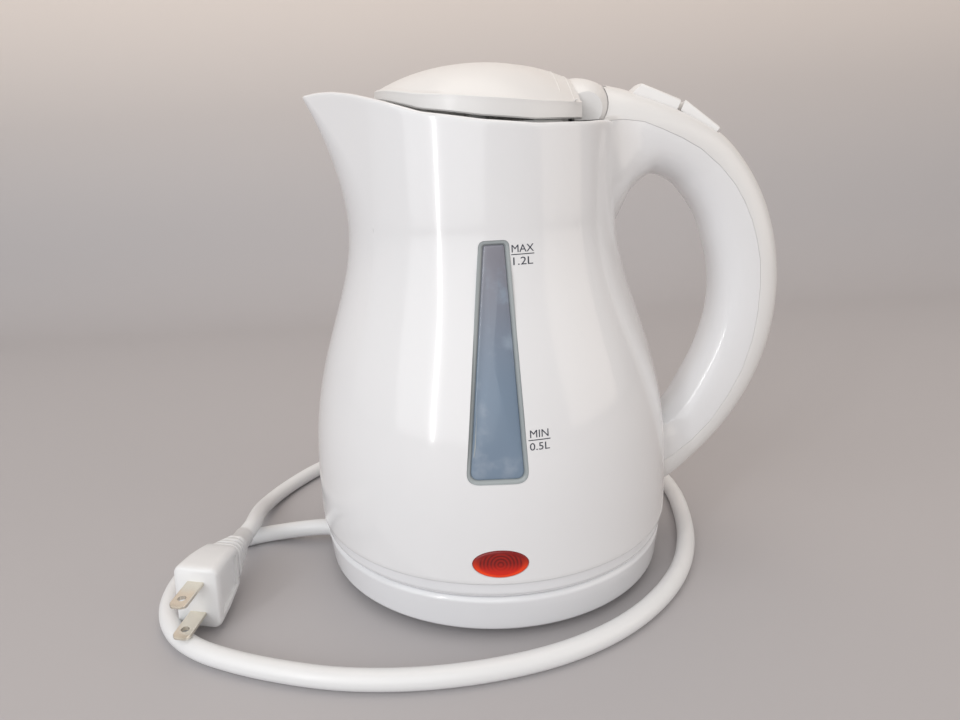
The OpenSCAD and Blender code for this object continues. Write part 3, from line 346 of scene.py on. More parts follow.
class Graph:
    """A node group that is built step by step, with named inputs and outputs."""

    def __init__(self, name: str, kind: str, outputs: Sequence[tuple[str, str]]) -> None:
        """Starts an empty group.

        Args:
            name: Its name.
            kind: The kind of group.
            outputs: Name and socket type of each output.
        """
        self.group = bpy.data.node_groups.new(name, kind)
        for label, socket in outputs:
            self.group.interface.new_socket(label, in_out="OUTPUT", socket_type=socket)
        self.inputs: dict[str, str] = {}
        self.start = self.group.nodes.new("NodeGroupInput")
        self.end = self.group.nodes.new("NodeGroupOutput")

    def socket(self, name: str, kind: str, default: object = None) -> bpy.types.NodeSocket:
        """Adds a named input and returns its socket inside the group."""
        item = self.group.interface.new_socket(name, in_out="INPUT", socket_type=kind)
        if default is not None:
            item.default_value = default
        self.inputs[name] = item.identifier
        return self.start.outputs[name]

    def add(self, kind: str, links: dict | None = None, **settings: object) -> bpy.types.Node:
        """Adds a node, with settings as its attributes and links or values for its inputs."""
        node = self.group.nodes.new(kind)
        for key, value in settings.items():
            setattr(node, key, value)
        for key, value in (links or {}).items():
            target = node.inputs[key]
            if isinstance(value, bpy.types.NodeSocket):
                self.group.links.new(value, target)
            else:
                target.default_value = value
        return node

    def math(self, operation: str, *values: object) -> bpy.types.NodeSocket:
        """Adds a math node and returns its result."""
        return self.add("ShaderNodeMath", dict(enumerate(values)), operation=operation).outputs[0]

    def end_in(self, *results: bpy.types.NodeSocket) -> bpy.types.NodeTree:
        """Links the results to the group's outputs, in their order."""
        for index, result in enumerate(results):
            self.group.links.new(result, self.end.inputs[index])
        return self.group


class NodeTree(Graph):
    """A geometry node tree that makes one piece."""

    def __init__(self, name: str) -> None:
        """Starts an empty tree with a geometry input and output."""
        super().__init__(name, "GeometryNodeTree", [("Geometry", SHAPE)])
        self.seed = self.socket("Geometry", SHAPE)

    def close(self, geometry: bpy.types.NodeSocket, material: bpy.types.Material) -> None:
        """Ends the tree in Realize Instances and Set Material."""
        realized = self.add("GeometryNodeRealizeInstances", {"Geometry": geometry}).outputs[0]
        dressed = self.add("GeometryNodeSetMaterial", {"Geometry": realized, "Material": material})
        self.end_in(dressed.outputs[0])

    def run(self, name: str, seed_mesh: bpy.types.Mesh, **values: object) -> bpy.types.Object:
        """Runs the tree once and returns its result as a plain mesh object.

        Args:
            name: Name of the new object.
            seed_mesh: Mesh that goes into the tree.
            values: Values of the named inputs.

        Returns:
            The object, without a modifier.
        """
        obj = placed(name, seed_mesh)
        modifier = obj.modifiers.new("nodes", "NODES")
        modifier.node_group = self.group
        for key, value in values.items():
            modifier[self.inputs[key]] = value
        finished_mesh(obj)
        obj.data.shade_smooth()
        return obj


def turned_tree(material: bpy.types.Material) -> NodeTree:
    """A tree that turns a profile, drawn as a chain of edges in the XZ plane, round the Z axis."""
    tree = NodeTree("turned_part")
    sides = tree.socket("Sides", WHOLE, 180)
    count = tree.socket("Steps", WHOLE, 120)
    curve = tree.add("GeometryNodeMeshToCurve", {"Mesh": tree.seed}).outputs[0]
    grid = tree.add("GeometryNodeMeshGrid", {"Size X": 1.0, "Size Y": 1.0,
                                             "Vertices X": sides, "Vertices Y": count})
    spot = tree.add("ShaderNodeSeparateXYZ", {0: tree.add("GeometryNodeInputPosition").outputs[0]})
    turn = tree.math("MULTIPLY", tree.math("ADD", spot.outputs[0], 0.5), math.tau)
    along = tree.math("ADD", spot.outputs[1], 0.5)
    sample = tree.add("GeometryNodeSampleCurve", {"Curves": curve, "Factor": along},
                      mode="FACTOR")
    profile = tree.add("ShaderNodeSeparateXYZ", {0: sample.outputs["Position"]})
    place = tree.add("ShaderNodeCombineXYZ", {
        0: tree.math("MULTIPLY", profile.outputs[0], tree.math("COSINE", turn)),
        1: tree.math("MULTIPLY", profile.outputs[0], tree.math("SINE", turn)),
        2: profile.outputs[2]})
    moved = tree.add("GeometryNodeSetPosition", {"Geometry": grid.outputs["Mesh"],
                                                 "Position": place.outputs[0]})
    merged = tree.add("GeometryNodeMergeByDistance", {"Geometry": moved.outputs[0],
                                                      "Distance": 2e-6})
    tree.close(merged.outputs[0], material)
    return tree


def rounded_profile(corners: Sequence[tuple[float, float, float]],
                    steps: int = 6) -> list[tuple[float, float]]:
    """An outline with its corners rounded.

    Args:
        corners: (r, z, rounding radius) of each corner.
        steps: Points per rounded corner.

    Returns:
        The closed outline, with its first point repeated at the end.
    """
    out: list[tuple[float, float]] = []
    n = len(corners)
    for k, (x, z, radius) in enumerate(corners):
        here = np.array([x, z])
        before = np.array(corners[k - 1][:2]) - here
        after = np.array(corners[(k + 1) % n][:2]) - here
        if radius <= 0:
            out.append((x, z))
            continue
        u, v = before / np.linalg.norm(before), after / np.linalg.norm(after)
        half = math.acos(max(-1.0, min(1.0, float(u @ v)))) / 2
        longest = 0.48 * min(np.linalg.norm(before), np.linalg.norm(after))
        reach = min(radius / math.tan(half), longest)
        start, end = here + u * reach, here + v * reach
        for s in range(steps + 1):
            t = s / steps
            p = (1 - t) ** 2 * start + 2 * t * (1 - t) * here + t ** 2 * end
            out.append((float(p[0]), float(p[1])))
    out.append(out[0])
    return out


def turned(name: str, tree: NodeTree, outline: Sequence[tuple[float, float]],
           sides: int = 180) -> bpy.types.Object:
    """Turns a closed outline round the Z axis with the tree.

    Args:
        name: Name of the piece.
        tree: The tree that turns it.
        outline: (r, z) of its corners, in millimetres.
        sides: How many faces go round it.

    Returns:
        The piece.
    """
    mesh = bpy.data.meshes.new(name + "_profile")
    mesh.from_pydata([(r * MM, 0.0, z * MM) for r, z in outline],
                     [(i, i + 1) for i in range(len(outline) - 1)], [])
    length = sum(math.dist(a, b) for a, b in zip(outline, outline[1:]))
    steps = int(min(max(length / 0.5, 60), 700))
    obj = tree.run(name, mesh, Sides=sides + 1, Steps=steps)
    with edited(obj.data) as bm:
        close_seams(bm, 5e-6)
    return crease(obj, 40)


# ---------------------------------------------------------------- finishes

def surface_group() -> bpy.types.ShaderNodeTree:
    """Shader group that gives moulded plastic its faint tone, roughness and height changes."""
    graph = Graph("moulded_surface", "ShaderNodeTree",
                  [("Color", COLOR), ("Roughness", FLOAT), ("Height", FLOAT)])
    color = graph.socket("Color", COLOR, (0.8, 0.8, 0.8, 1))
    tone, rough, patch, grain, cloud = (graph.socket(name, FLOAT, value) for name, value in (
        ("Tone", 0.02), ("Roughness", 0.2), ("Patch", 0.05), ("Grain", 900.0), ("Cloud", 25.0)))
    place = graph.add("ShaderNodeTexCoord").outputs["Object"]
    coarse, fine = (
        graph.add("ShaderNodeTexNoise", {"Vector": place, "Scale": scale, "Detail": detail})
        for scale, detail in ((cloud, 3.0), (grain, 2.0)))
    centred = graph.math("SUBTRACT", coarse.outputs["Fac"], 0.5)
    shade = graph.math("MULTIPLY_ADD", centred, tone, 1.0)
    tinted = graph.add("ShaderNodeVectorMath", operation="SCALE")
    graph.group.links.new(color, tinted.inputs[0])
    graph.group.links.new(shade, tinted.inputs["Scale"])
    return graph.end_in(tinted.outputs[0], graph.math("MULTIPLY_ADD", centred, patch, rough),
                        fine.outputs["Fac"])


class ShaderChain(Graph):
    """A shader group that ends in a colour, with object coordinates in millimetres at hand."""

    def __init__(self, name: str) -> None:
        """Starts a group with one colour as its output."""
        super().__init__(name, "ShaderNodeTree", [("Color", COLOR)])
        self.place = self.add("ShaderNodeTexCoord").outputs["Object"]
        split = self.add("ShaderNodeSeparateXYZ", {0: self.place})
        self.x, self.z = (self.math("MULTIPLY", split.outputs[k], 1 / MM) for k in (0, 2))

    def ramp(self, value: bpy.types.NodeSocket, low: float, high: float) -> bpy.types.NodeSocket:
        """A smooth step of a value from 0 at low to 1 at high."""
        return self.add("ShaderNodeMapRange", {"Value": value, "From Min": low, "From Max": high},
                        interpolation_type="SMOOTHSTEP").outputs["Result"]

    def mix(self, share: bpy.types.NodeSocket, first: object,
            second: object) -> bpy.types.NodeSocket:
        """Mixes two colours, given as sockets or as (r, g, b)."""
        first, second = ((*c, 1.0) if isinstance(c, tuple) else c for c in (first, second))
        return self.add("ShaderNodeMix", {0: share, 6: first, 7: second},
                        data_type="RGBA").outputs[2]


def lens_rings_and_painted_glow() -> bpy.types.ShaderNodeTree:
    """Colour of the lamp lens: fine dark rings in the middle, with a painted glow that turns its
    lower part bright orange and painted shade that darkens its upper edge.
    """
    chain = ShaderChain("lens_rings_and_painted_glow")
    height = chain.math("SUBTRACT", chain.z, LENS_Z)
    far = chain.math("SQRT", chain.math("ADD", chain.math("POWER", chain.x, 2.0),
                                        chain.math("POWER", height, 2.0)))
    wave = chain.math("SINE", chain.math("MULTIPLY", far, math.tau / LENS_RING_PITCH))
    rings = chain.math("MULTIPLY_ADD", wave, 0.5, 0.5)
    across = chain.math("POWER", chain.math("DIVIDE", chain.x, LENS_W / 2), 2.0)
    along = chain.math("POWER", chain.math("DIVIDE", height, LENS_H / 2), 2.0)
    edge = chain.ramp(chain.math("SQRT", chain.math("ADD", across, along)), 0.70, 0.86)
    # painted glow and shade: the lens's edge runs from bright orange at its foot to dark red at its
    # top, standing in for light caught in the dome
    low = chain.ramp(height, 3.4, -4.2)
    middle = chain.mix(rings, (0.13, 0.0, 0.0), (0.36, 0.008, 0.002))
    # painted glow: the middle brightens to orange towards the lens's foot
    middle = chain.mix(chain.ramp(height, 0.8, -3.6), middle, (0.66, 0.014, 0.001))
    rim = chain.mix(low, (0.22, 0.002, 0.002), (1.0, 0.06, 0.0))
    return chain.end_in(chain.mix(edge, middle, rim))


def gauge_color() -> bpy.types.ShaderNodeTree:
    """Colour of the gauge window: grey at its top and bluer towards its foot, with faint clouds."""
    chain = ShaderChain("gauge_color")
    height = chain.ramp(chain.z, WINDOW_Z + WINDOW_H, WINDOW_Z + 26.0)
    noise = chain.add("ShaderNodeTexNoise", {"Vector": chain.place, "Scale": 90.0, "Detail": 4.0})
    tint = chain.mix(height, (0.235, 0.235, 0.275), (0.185, 0.25, 0.335))
    cloudy = chain.mix(chain.ramp(noise.outputs["Fac"], 0.55, 0.75), tint, (0.27, 0.33, 0.41))
    return chain.end_in(cloudy)


BUMP_HEIGHT = 0.0004


def new_material(name: str) -> tuple[bpy.types.Material, bpy.types.Node]:
    """Makes a node material and gives it back with its shader."""
    material = bpy.data.materials.new(name)
    material.use_nodes = True
    return material, material.node_tree.nodes["Principled BSDF"]


def fill(node: bpy.types.Node, values: dict[str, object]) -> None:
    """Sets constant values on a node's own sockets."""
    for key, value in values.items():
        node.inputs[key].default_value = value


@dataclass(frozen=True)
class Finish:
    """A procedural finish built on the shared moulded surface group."""

    name: str
    color: tuple[float, float, float]
    roughness: float = 0.25
    tone: float = 0.03
    patch: float = 0.06
    grain: float = 900.0
    cloud: float = 25.0
    bump: float = 0.02
    metallic: float = 0.0
    coat: float = 0.0
    coat_roughness: float = 0.05
    transmission: float = 0.0
    ior: float = 1.5
    pattern: Callable[[], bpy.types.ShaderNodeTree] | None = None

    def build(self, group: bpy.types.ShaderNodeTree) -> bpy.types.Material:
        """Makes the material.

        Args:
            group: The shared surface group.

        Returns:
            The material, with its shader and the shared group.
        """
        material, shader = new_material(self.name)
        nodes, links = material.node_tree.nodes, material.node_tree.links
        surface = nodes.new("ShaderNodeGroup")
        surface.node_tree = group
        fill(surface, {"Color": (*self.color, 1.0), "Tone": self.tone, "Roughness": self.roughness,
                       "Patch": self.patch, "Grain": self.grain, "Cloud": self.cloud})
        bump = nodes.new("ShaderNodeBump")
        fill(bump, {"Strength": self.bump, "Distance": BUMP_HEIGHT})
        links.new(surface.outputs["Color"], shader.inputs["Base Color"])
        links.new(surface.outputs["Roughness"], shader.inputs["Roughness"])
        links.new(surface.outputs["Height"], bump.inputs["Height"])
        links.new(bump.outputs["Normal"], shader.inputs["Normal"])
        fill(shader, {"Metallic": self.metallic, "Coat Weight": self.coat,
                      "Coat Roughness": self.coat_roughness,
                      "Transmission Weight": self.transmission, "IOR": self.ior})
        if self.pattern:
            drawn = nodes.new("ShaderNodeGroup")
            drawn.node_tree = self.pattern()
            links.new(drawn.outputs[0], surface.inputs["Color"])
        return material


MARK_INK = Finish("level_ink", (0.035, 0.04, 0.06), 0.4, bump=0.02)
GAUGE_FRAME = Finish("gauge_frame", (0.34, 0.375, 0.385), 0.3, coat=0.1, bump=0.01)
FINISHES = {
    "body_plastic": Finish("jug_gloss", (0.80, 0.805, 0.82), 0.16, coat=0.35, grain=500,
                           bump=0.012),
    "lid_plastic": Finish("lid_gloss", (0.78, 0.775, 0.77), 0.3, coat=0.2, coat_roughness=0.22,
                          grain=500, bump=0.015),
    "key_plastic": Finish("key_satin", (0.88, 0.875, 0.87), 0.36, grain=1500, bump=0.03),
    "base_plastic": Finish("base_gloss", (0.79, 0.80, 0.825), 0.18, coat=0.3, grain=500,
                           bump=0.012),
    "inner_plastic": Finish("inner_satin", (0.78, 0.79, 0.79), 0.42, grain=1200, bump=0.05),
    "dark_plastic": Finish("connector_grey", (0.035, 0.035, 0.04), 0.5, grain=1200, bump=0.08),
    "cord_vinyl": Finish("cord_vinyl", (0.80, 0.81, 0.82), 0.33, grain=700, bump=0.04, coat=0.1),
    "window_clear": Finish("gauge_smoke", (0.20, 0.24, 0.31), 0.2, tone=0.1, cloud=45, coat=0.3,
                           ior=1.45, bump=0.004, pattern=gauge_color),
    # the lens's colour comes from its pattern, which paints a glow on its lower part and shade on
    # its upper edge
    "lens_red": Finish("lens_amber_painted_glow", (0.80, 0.05, 0.008), 0.3, tone=0.1, cloud=90, coat=0.06,
                       bump=0.004, pattern=lens_rings_and_painted_glow),
    "silicone": Finish("seal_silicone", (0.70, 0.71, 0.71), 0.55, grain=900, bump=0.05),
    "foot_rubber": Finish("foot_rubber", (0.08, 0.08, 0.085), 0.75, grain=1500, bump=0.12),
    "steel": Finish("brushed_steel", (0.62, 0.62, 0.63), 0.3, metallic=1.0, patch=0.2, grain=600,
                    bump=0.05),
    "aluminium": Finish("cast_aluminium", (0.70, 0.70, 0.71), 0.45, metallic=1.0, patch=0.2,
                        grain=400, bump=0.15),
    "contact_metal": Finish("contact_brass", (0.66, 0.50, 0.22), 0.3, metallic=1.0, patch=0.2,
                            bump=0.05),
    "blade_metal": Finish("blade_nickel", (0.80, 0.755, 0.66), 0.32, metallic=1.0, patch=0.25,
                          grain=500, bump=0.05),
    "lamp_glass": Finish("neon_glass", (0.90, 0.45, 0.25), 0.1, transmission=0.6),
    "wire_vinyl": Finish("lead_vinyl", (0.16, 0.10, 0.07), 0.4, bump=0.05),
}


class Wardrobe:
    """Makes each finish once and hands it out."""

    def __init__(self) -> None:
        """Builds the shared group."""
        self.group = surface_group()
        self.made: dict[str, bpy.types.Material] = {}

    def make(self, finish: Finish) -> bpy.types.Material:
        """The material of a finish, built the first time that it is asked for."""
        if finish.name not in self.made:
            self.made[finish.name] = finish.build(self.group)
        return self.made[finish.name]

    def get(self, slot: str) -> bpy.types.Material:
        """The material of a slot of the record."""
        return self.make(FINISHES[slot])

    def carry(self, obj: bpy.types.Object, slot: str, body: str, *nodes: str) -> bpy.types.Object:
        """Gives a piece that has its materials its body, and hides the nodes that it stands for.

        Args:
            obj: The piece.
            slot: The record's slot; not used.
            body: The CAD body that it rides on.
            nodes: The CAD nodes that it replaces.

        Returns:
            The piece.
        """
        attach(obj, body)
        if nodes:
            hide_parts(*nodes)
        LOG.info("piece %s on %s", obj.name, body)
        return obj

    def dress(self, obj: bpy.types.Object, slot: str, body: str, *nodes: str) -> bpy.types.Object:
        """Gives a piece the finish of its slot and its body, and hides the nodes that it stands
        for.

        Args:
            obj: The piece.
            slot: The record's slot.
            body: The CAD body that it rides on.
            nodes: The CAD nodes that it replaces.

        Returns:
            The piece.
        """
        obj.data.materials.clear()
        obj.data.materials.append(self.get(slot))
        return self.carry(obj, slot, body, *nodes)


# ---------------------------------------------------------------- studio

@dataclass(frozen=True)
class Lamp:
    """A rectangular lamp: where it hangs and what it faces, in metres, its size and power."""

    name: str
    place: Point
    aim: Point
    size: tuple[float, float]
    watts: float
    color: tuple[float, float, float] = (1, 1, 1)

    def build(self) -> None:
        """Hangs the lamp."""
        data = bpy.data.lights.new(self.name, "AREA")
        data.shape = "RECTANGLE"
        data.size, data.size_y = self.size
        data.energy = self.watts
        data.color = self.color
        obj = placed(self.name, data)
        obj.location = self.place
        look = Vector(self.aim) - Vector(self.place)
        obj.rotation_euler = look.to_track_quat("-Z", "Y").to_euler()
        obj.visible_camera = False


LAMPS = [
    Lamp("softbox_front", (-0.75, -1.35, 0.95), (0, 0, 0.1), (2.4, 2.0), 17.5, (0.97, 0.985, 1.0)),
    Lamp("softbox_top", (0.1, 0.15, 1.3), (0, 0, 0.1), (1.1, 0.9), 3.4, (1.0, 0.90, 0.80)),
    Lamp("softbox_right", (1.1, -0.45, 0.5), (0, 0, 0.12), (0.9, 0.9), 2.3, (1.0, 0.88, 0.77)),
    Lamp("strip_left", (-0.50, -0.72, 0.36), (0, 0, 0.11), (0.03, 0.6), 1.0),
]


@dataclass
class Studio:
    """Camera, floor, backdrop and lights."""

    eye: Point = (-10.4, -271.1, 160.6)
    right: Point = (0.99833, 0.01988, -0.05418)
    up: Point = (0.04669, 0.27361, 0.96071)
    focal_px: float = 665.0
    centre_x_px: float = 437.8
    sensor_mm: float = 36.0
    floor_color: tuple[float, float, float] = (0.46, 0.445, 0.455)
    wall_color: tuple[float, float, float] = (0.84, 0.76, 0.70)
    wall_start: float = 0.45
    cove_r: float = 0.25
    world_color: tuple[float, float, float] = (1.0, 0.965, 0.94)
    world_strength: float = 0.5

    def camera(self) -> None:
        """Makes the scene's camera."""
        data = bpy.data.cameras.new("camera")
        data.sensor_width = self.sensor_mm
        data.lens = self.focal_px / FRAME_W * self.sensor_mm
        data.shift_x = (FRAME_W / 2 - self.centre_x_px) / FRAME_W
        data.clip_start, data.clip_end = 0.01, 20.0
        cam = placed("camera", data)
        right, up = Vector(self.right).normalized(), Vector(self.up).normalized()
        back = right.cross(up).normalized()
        up = back.cross(right)
        turn = Matrix((right, up, back)).transposed().to_4x4()
        cam.matrix_world = Matrix.Translation(Vector(self.eye) * MM) @ turn
        bpy.context.scene.camera = cam

    def paint(self) -> bpy.types.Material:
        """The plain matt paint of the cove: grey on the floor, warmer and lighter up the wall."""
        material, shader = new_material("studio_paint")
        fill(shader, {"Roughness": 0.6})
        chain = ShaderChain("cove_color")
        tint = chain.mix(chain.ramp(chain.z, 60.0, 520.0), self.floor_color, self.wall_color)
        group = material.node_tree.nodes.new("ShaderNodeGroup")
        group.node_tree = chain.end_in(tint)
        material.node_tree.links.new(group.outputs[0], shader.inputs["Base Color"])
        return material

    def room(self) -> None:
        """Makes the floor and the wall behind it, joined by a soft cove."""
        start, r = self.wall_start, self.cove_r
        profile = [(-2.0, 0.0), (start, 0.0)]
        profile += [(start + r * math.sin(a), r - r * math.cos(a))
                    for a in np.linspace(0.1, math.pi / 2, 12)]
        profile += [(start + r, 3.0)]
        rings = [[(x, y, z) for y, z in profile] for x in (-4.0, 4.0)]
        points, faces = skin(rings, closed=False, caps=False)
        obj = make_object("studio_cove", [tuple(c / MM for c in p) for p in points], faces)
        obj.data.materials.append(self.paint())

    def light(self) -> None:
        """Adds the lamps and the world's light."""
        world = bpy.data.worlds.new("studio_world")
        bpy.context.scene.world = world
        world.use_nodes = True
        background = world.node_tree.nodes["Background"]
        fill(background, {"Color": (*self.world_color, 1), "Strength": self.world_strength})
        for lamp in LAMPS:
            lamp.build()
        bpy.context.scene.view_settings.view_transform = "Standard"

    def build(self) -> None:
        """Makes everything round the object."""
        self.camera()
        self.room()
        self.light()


# ---------------------------------------------------------------- cord and plug

@dataclass
class CordAndPlug:
    """The mains cord, its plug with ribbed neck, and the two blades."""

    route: Sequence[Point] = field(default_factory=lambda: ROUTE)
    steps: int = 6
    neck_oval: float = 1.08
    neck_round: float = 0.95

    def plug_matrix(self) -> Matrix:
        """Place of the plug: z runs from the neck to the blades, x across the blades' faces."""
        place = Matrix.Translation(PLUG_AT)
        turn = Matrix.Rotation(math.radians(PLUG_TURN), 4, "Z")
        turn = turn @ Matrix.Rotation(-math.pi / 2, 4, "X")
        return place @ turn @ Matrix.Rotation(math.radians(PLUG_ROLL), 4, "Z")

    def rounded_box(self, w: float, h: float, z: float, radius: float,
                    count: int = 8) -> list[Point]:
        """A ring with rounded corners round the plug's axis."""
        ring = []
        for k, (sx, sy) in enumerate(((1, 1), (-1, 1), (-1, -1), (1, -1))):
            for s in range(count + 1):
                a = math.pi / 2 * (k + s / count)
                ring.append((sx * (w / 2 - radius) + radius * math.cos(a),
                             sy * (h / 2 - radius) + radius * math.sin(a), z))
        return ring

    def body(self) -> bpy.types.Object:
        """The plug's moulded block, with finger grips on both sides."""
        z0, z1 = NECK_LEN, NECK_LEN + PLUG_LEN
        stations = [(z0 - 0.6, 11, 15, 3), (z0, 13.0, 17.8, 2.6), (z0 + 0.8, 13.6, 18.6, 2.4),
                    (z0 + 4, 14.2, 20.2, 2.4), (z0 + 8, 15.0, 22.0, 2.6),
                    (z0 + 12, 15.8, 23.6, 2.8), (z1 - 3.4, 16.8, 24.8, 3), (z1 - 1.6, 17, 25, 3),
                    (z1 - 0.6, 16.5, 24.5, 2.8), (z1, 15.4, 23.4, 2.4)]
        rings = [self.rounded_box(w * PLUG_W / 17, h * PLUG_H / 25, z, r)
                 for z, w, h, r in stations]
        obj = make_object("plug_block", *skin(rings))
        grips = []
        for side in (-1, 1):
            ring_set = []
            for x0, x1, grow in ((5.9, 7.1, 0.0), (12.0, 12.0, 3.0)):
                hh, za, zb = (PLUG_H - 9) / 2 + grow * 0.4, z0 + 3 - grow, z1 - 4 + grow
                ring_set.append([(side * x0, -hh + 1.6, za), (side * x0, hh - 1.6, za),
                                 (side * x1, hh, zb), (side * x1, -hh, zb)])
            grips.append(make_object("grip_cut", *skin(ring_set)))
        cut(obj, grips)
        return crease(obj, 50)

    def ribs(self, material: bpy.types.Material) -> bpy.types.Object:
        """The neck's ribs, repeated along its axis and growing towards the block.

        Args:
            material: The plug's material.

        Returns:
            The ribs as one mesh.
        """
        tree = NodeTree("neck_ribs")
        count = tree.socket("Count", WHOLE, 4)
        first = tree.socket("First", FLOAT, 0.0088)
        step = tree.socket("Step", FLOAT, 0.0034)
        least = tree.socket("Least", FLOAT, 0.8)
        growth = tree.socket("Growth", FLOAT, 0.15)
        line = tree.add("GeometryNodeMeshLine", {"Count": count})
        number = tree.add("GeometryNodeInputIndex").outputs[0]
        height = tree.math("ADD", tree.math("MULTIPLY", number, step), first)
        offset = tree.add("ShaderNodeCombineXYZ", {2: height})
        spots = tree.add("GeometryNodeSetPosition", {"Geometry": line.outputs[0],
                                                     "Position": offset.outputs[0]})
        size = tree.math("ADD", least, tree.math("MULTIPLY", number, growth))
        scale = tree.add("ShaderNodeCombineXYZ", {0: size, 1: size, 2: 1.0})
        copies = tree.add("GeometryNodeInstanceOnPoints", {
            "Points": spots.outputs[0], "Instance": tree.seed, "Scale": scale.outputs[0]})
        tree.close(copies.outputs[0], material)
        stations = [(-1.2, 7.6, 8.6, 3.4), (-1.15, 9.6, 11.4, 3.6), (-0.8, 10.4, 12.4, 3.6),
                    (0.8, 10.8, 12.8, 3.6), (1.15, 10.0, 12.0, 3.4), (1.2, 8.0, 9.4, 3.0)]
        rings = [self.rounded_box(w, h, z, r) for z, w, h, r in stations]
        seed = make_object("rib_seed", *skin(rings))
        mesh = seed.data
        bpy.data.objects.remove(seed)
        return tree.run("plug_neck_ribs", mesh, Count=4, First=0.0088, Step=0.0034, Least=0.8,
                        Growth=0.15)

    def neck(self) -> bpy.types.Object:
        """The tapered core of the neck under the ribs."""
        stations = [(0.0, 3.7), (0.2, 3.85), (7.0, 3.9), (7.4, 4.5), (12, 5.0),
                    (NECK_LEN + 0.5, 5.8)]
        rings = [self.rounded_box(2 * r, 2 * r * self.neck_oval, z, r * self.neck_round)
                 for z, r in stations]
        return make_object("plug_neck", *skin(rings))

    def blades(self) -> bpy.types.Object:
        """Two flat blades with bevelled tips and holes."""
        parts = []
        hole_r, hole_in, bevel = 1.5, 4.6, 0.18
        for side in (-1, 1):
            y = side * BLADE_PITCH / 2
            z0, z1 = NECK_LEN + PLUG_LEN - 6, NECK_LEN + PLUG_LEN + BLADE_LEN
            half, thick = BLADE_W / 2, BLADE_T / 2
            rings = []
            for z, w, t in ((z0, half, thick), (z1 - 2.2, half, thick),
                            (z1 - 1.2, half - 0.35, thick - 0.1),
                            (z1 - 0.4, half - 1.0, thick - 0.35), (z1, half - 1.6, thick - 0.55)):
                e = bevel
                rings.append([(w, y - t + e, z), (w, y + t - e, z), (w - e, y + t, z),
                              (-w + e, y + t, z), (-w, y + t - e, z), (-w, y - t + e, z),
                              (-w + e, y - t, z), (w - e, y - t, z)])
            blade = make_object("blade", *skin(rings))
            hole = [[(hole_r * math.cos(a), yy, z1 - hole_in + hole_r * math.sin(a))
                     for a in around(32)] for yy in (y - 3, y + 3)]
            cut(blade, [make_object("hole", *skin(hole))])
            parts.append(blade)
        joined = join("plug_blade_pair", parts)
        return crease(joined, 30)

    def tube(self) -> tuple[bpy.types.Object, float]:
        """The cord as a curve of round section, and its length in metres."""
        points = catmull(self.route, self.steps)
        curve = bpy.data.curves.new("mains_cord", "CURVE")
        curve.dimensions = "3D"
        curve.bevel_depth = CORD_D / 2 * MM
        curve.bevel_resolution = 6
        curve.use_fill_caps = True
        spline = curve.splines.new("POLY")
        spline.points.add(len(points) - 1)
        for spot, p in zip(spline.points, points):
            spot.co = (*(float(c) * MM for c in p), 1.0)
        spline.use_smooth = True
        obj = placed("mains_cord", curve)
        length = sum(float(np.linalg.norm(b - a)) for a, b in zip(points, points[1:])) * MM
        return obj, length

    def build(self, wardrobe: Wardrobe) -> None:
        cord, length = self.tube()
        wardrobe.dress(cord, "cord_vinyl", "base", "cord")
        place = Matrix.Scale(MM, 4) @ self.plug_matrix() @ Matrix.Scale(1 / MM, 4)
        pieces = [self.body(), self.neck(), self.ribs(wardrobe.get("cord_vinyl")), self.blades()]
        for piece in pieces:
            piece.data.transform(place)
        body = join("plug_moulding", pieces[:3])
        wardrobe.dress(body, "cord_vinyl", "base", "plug_body")
        wardrobe.dress(pieces[3], "blade_metal", "base", "plug_blades")


def join(name: str, parts: Sequence[bpy.types.Object], keep: bool = False) -> bpy.types.Object:
    """Joins mesh objects into one new object and deletes them.

    Args:
        name: Name of the new object.
        parts: The objects.
        keep: Whether each part keeps the first material that it has.

    Returns:
        The new object.
    """
    bm = bmesh.new()
    mesh = bpy.data.meshes.new(name)
    for number, part in enumerate(parts):
        known = len(bm.faces)
        bm.from_mesh(part.data)
        if keep:
            mesh.materials.append(part.data.materials[0])
            bm.faces.ensure_lookup_table()
            for face in bm.faces[known:]:
                face.material_index = number
    bm.to_mesh(mesh)
    bm.free()
    for part in parts:
        bpy.data.objects.remove(part)
    return placed(name, mesh)


# ---------------------------------------------------------------- power base

@dataclass
class PowerBase:
    """The round base and the kettle's bottom ring above it."""

    wall: float = 2.2
    notch: tuple = ((-12.7, 24.4), (12.7, 34), 10)
    notch_y: float = -0.068

    def build(self, wardrobe: Wardrobe) -> None:
        """Makes the turned shells of the base and of the kettle's foot."""
        tree = turned_tree(wardrobe.get("base_plastic"))
        wall = self.wall
        inner = BASE_R - wall - 1.2
        shell = turned("base_shell", tree, rounded_profile([
            (15.0, BASE_H - wall, 0.3), (inner, BASE_H - wall, 0.6), (inner, 3.4, 0),
            (BASE_R - 2.1, 3.4, 0.3), (BASE_R - 1.2, 4.4, 1.0), (BASE_R, BASE_H - 1.4, 1.0),
            (BASE_R - 1.3, BASE_H, 1.0), (15.0, BASE_H, 0.4)]))
        wardrobe.dress(shell, "base_plastic", "base", "base_cover")
        lip = BELLY_R - WALL - 0.6
        ring = turned("foot_ring", tree, rounded_profile([
            (24.4, 19.6, 0.2), (60, 19.6, 0.2), (60, KETTLE_Z, 0.3), (BELLY_R - 2.0, KETTLE_Z, 1.2),
            (BELLY_R - 1.1, KETTLE_Z + 1.8, 1.0), (BELLY_R - 1.1, 23.6, 0.3), (lip, 23.6, 0.1),
            (lip, 28.8, 0.3), (lip - 1.8, 28.8, 0.3), (lip - 1.8, 20, 0.3), (62, 20, 0.3),
            (62, 21.6, 0.3), (24.4, 21.6, 0.2)]))
        notch = block("notch", *self.notch)
        notch.data.transform(Matrix.Translation((0, self.notch_y, 0)))
        cut(ring, [notch])
        crease(ring, 40)
        wardrobe.dress(ring, "base_plastic", "kettle", "bottom_cover")


# ---------------------------------------------------------------- jug

class Wall(Enum):
    """Which closed solid of the jug's form is wanted."""

    SHELL = "shell"
    INSIDE = "inside"


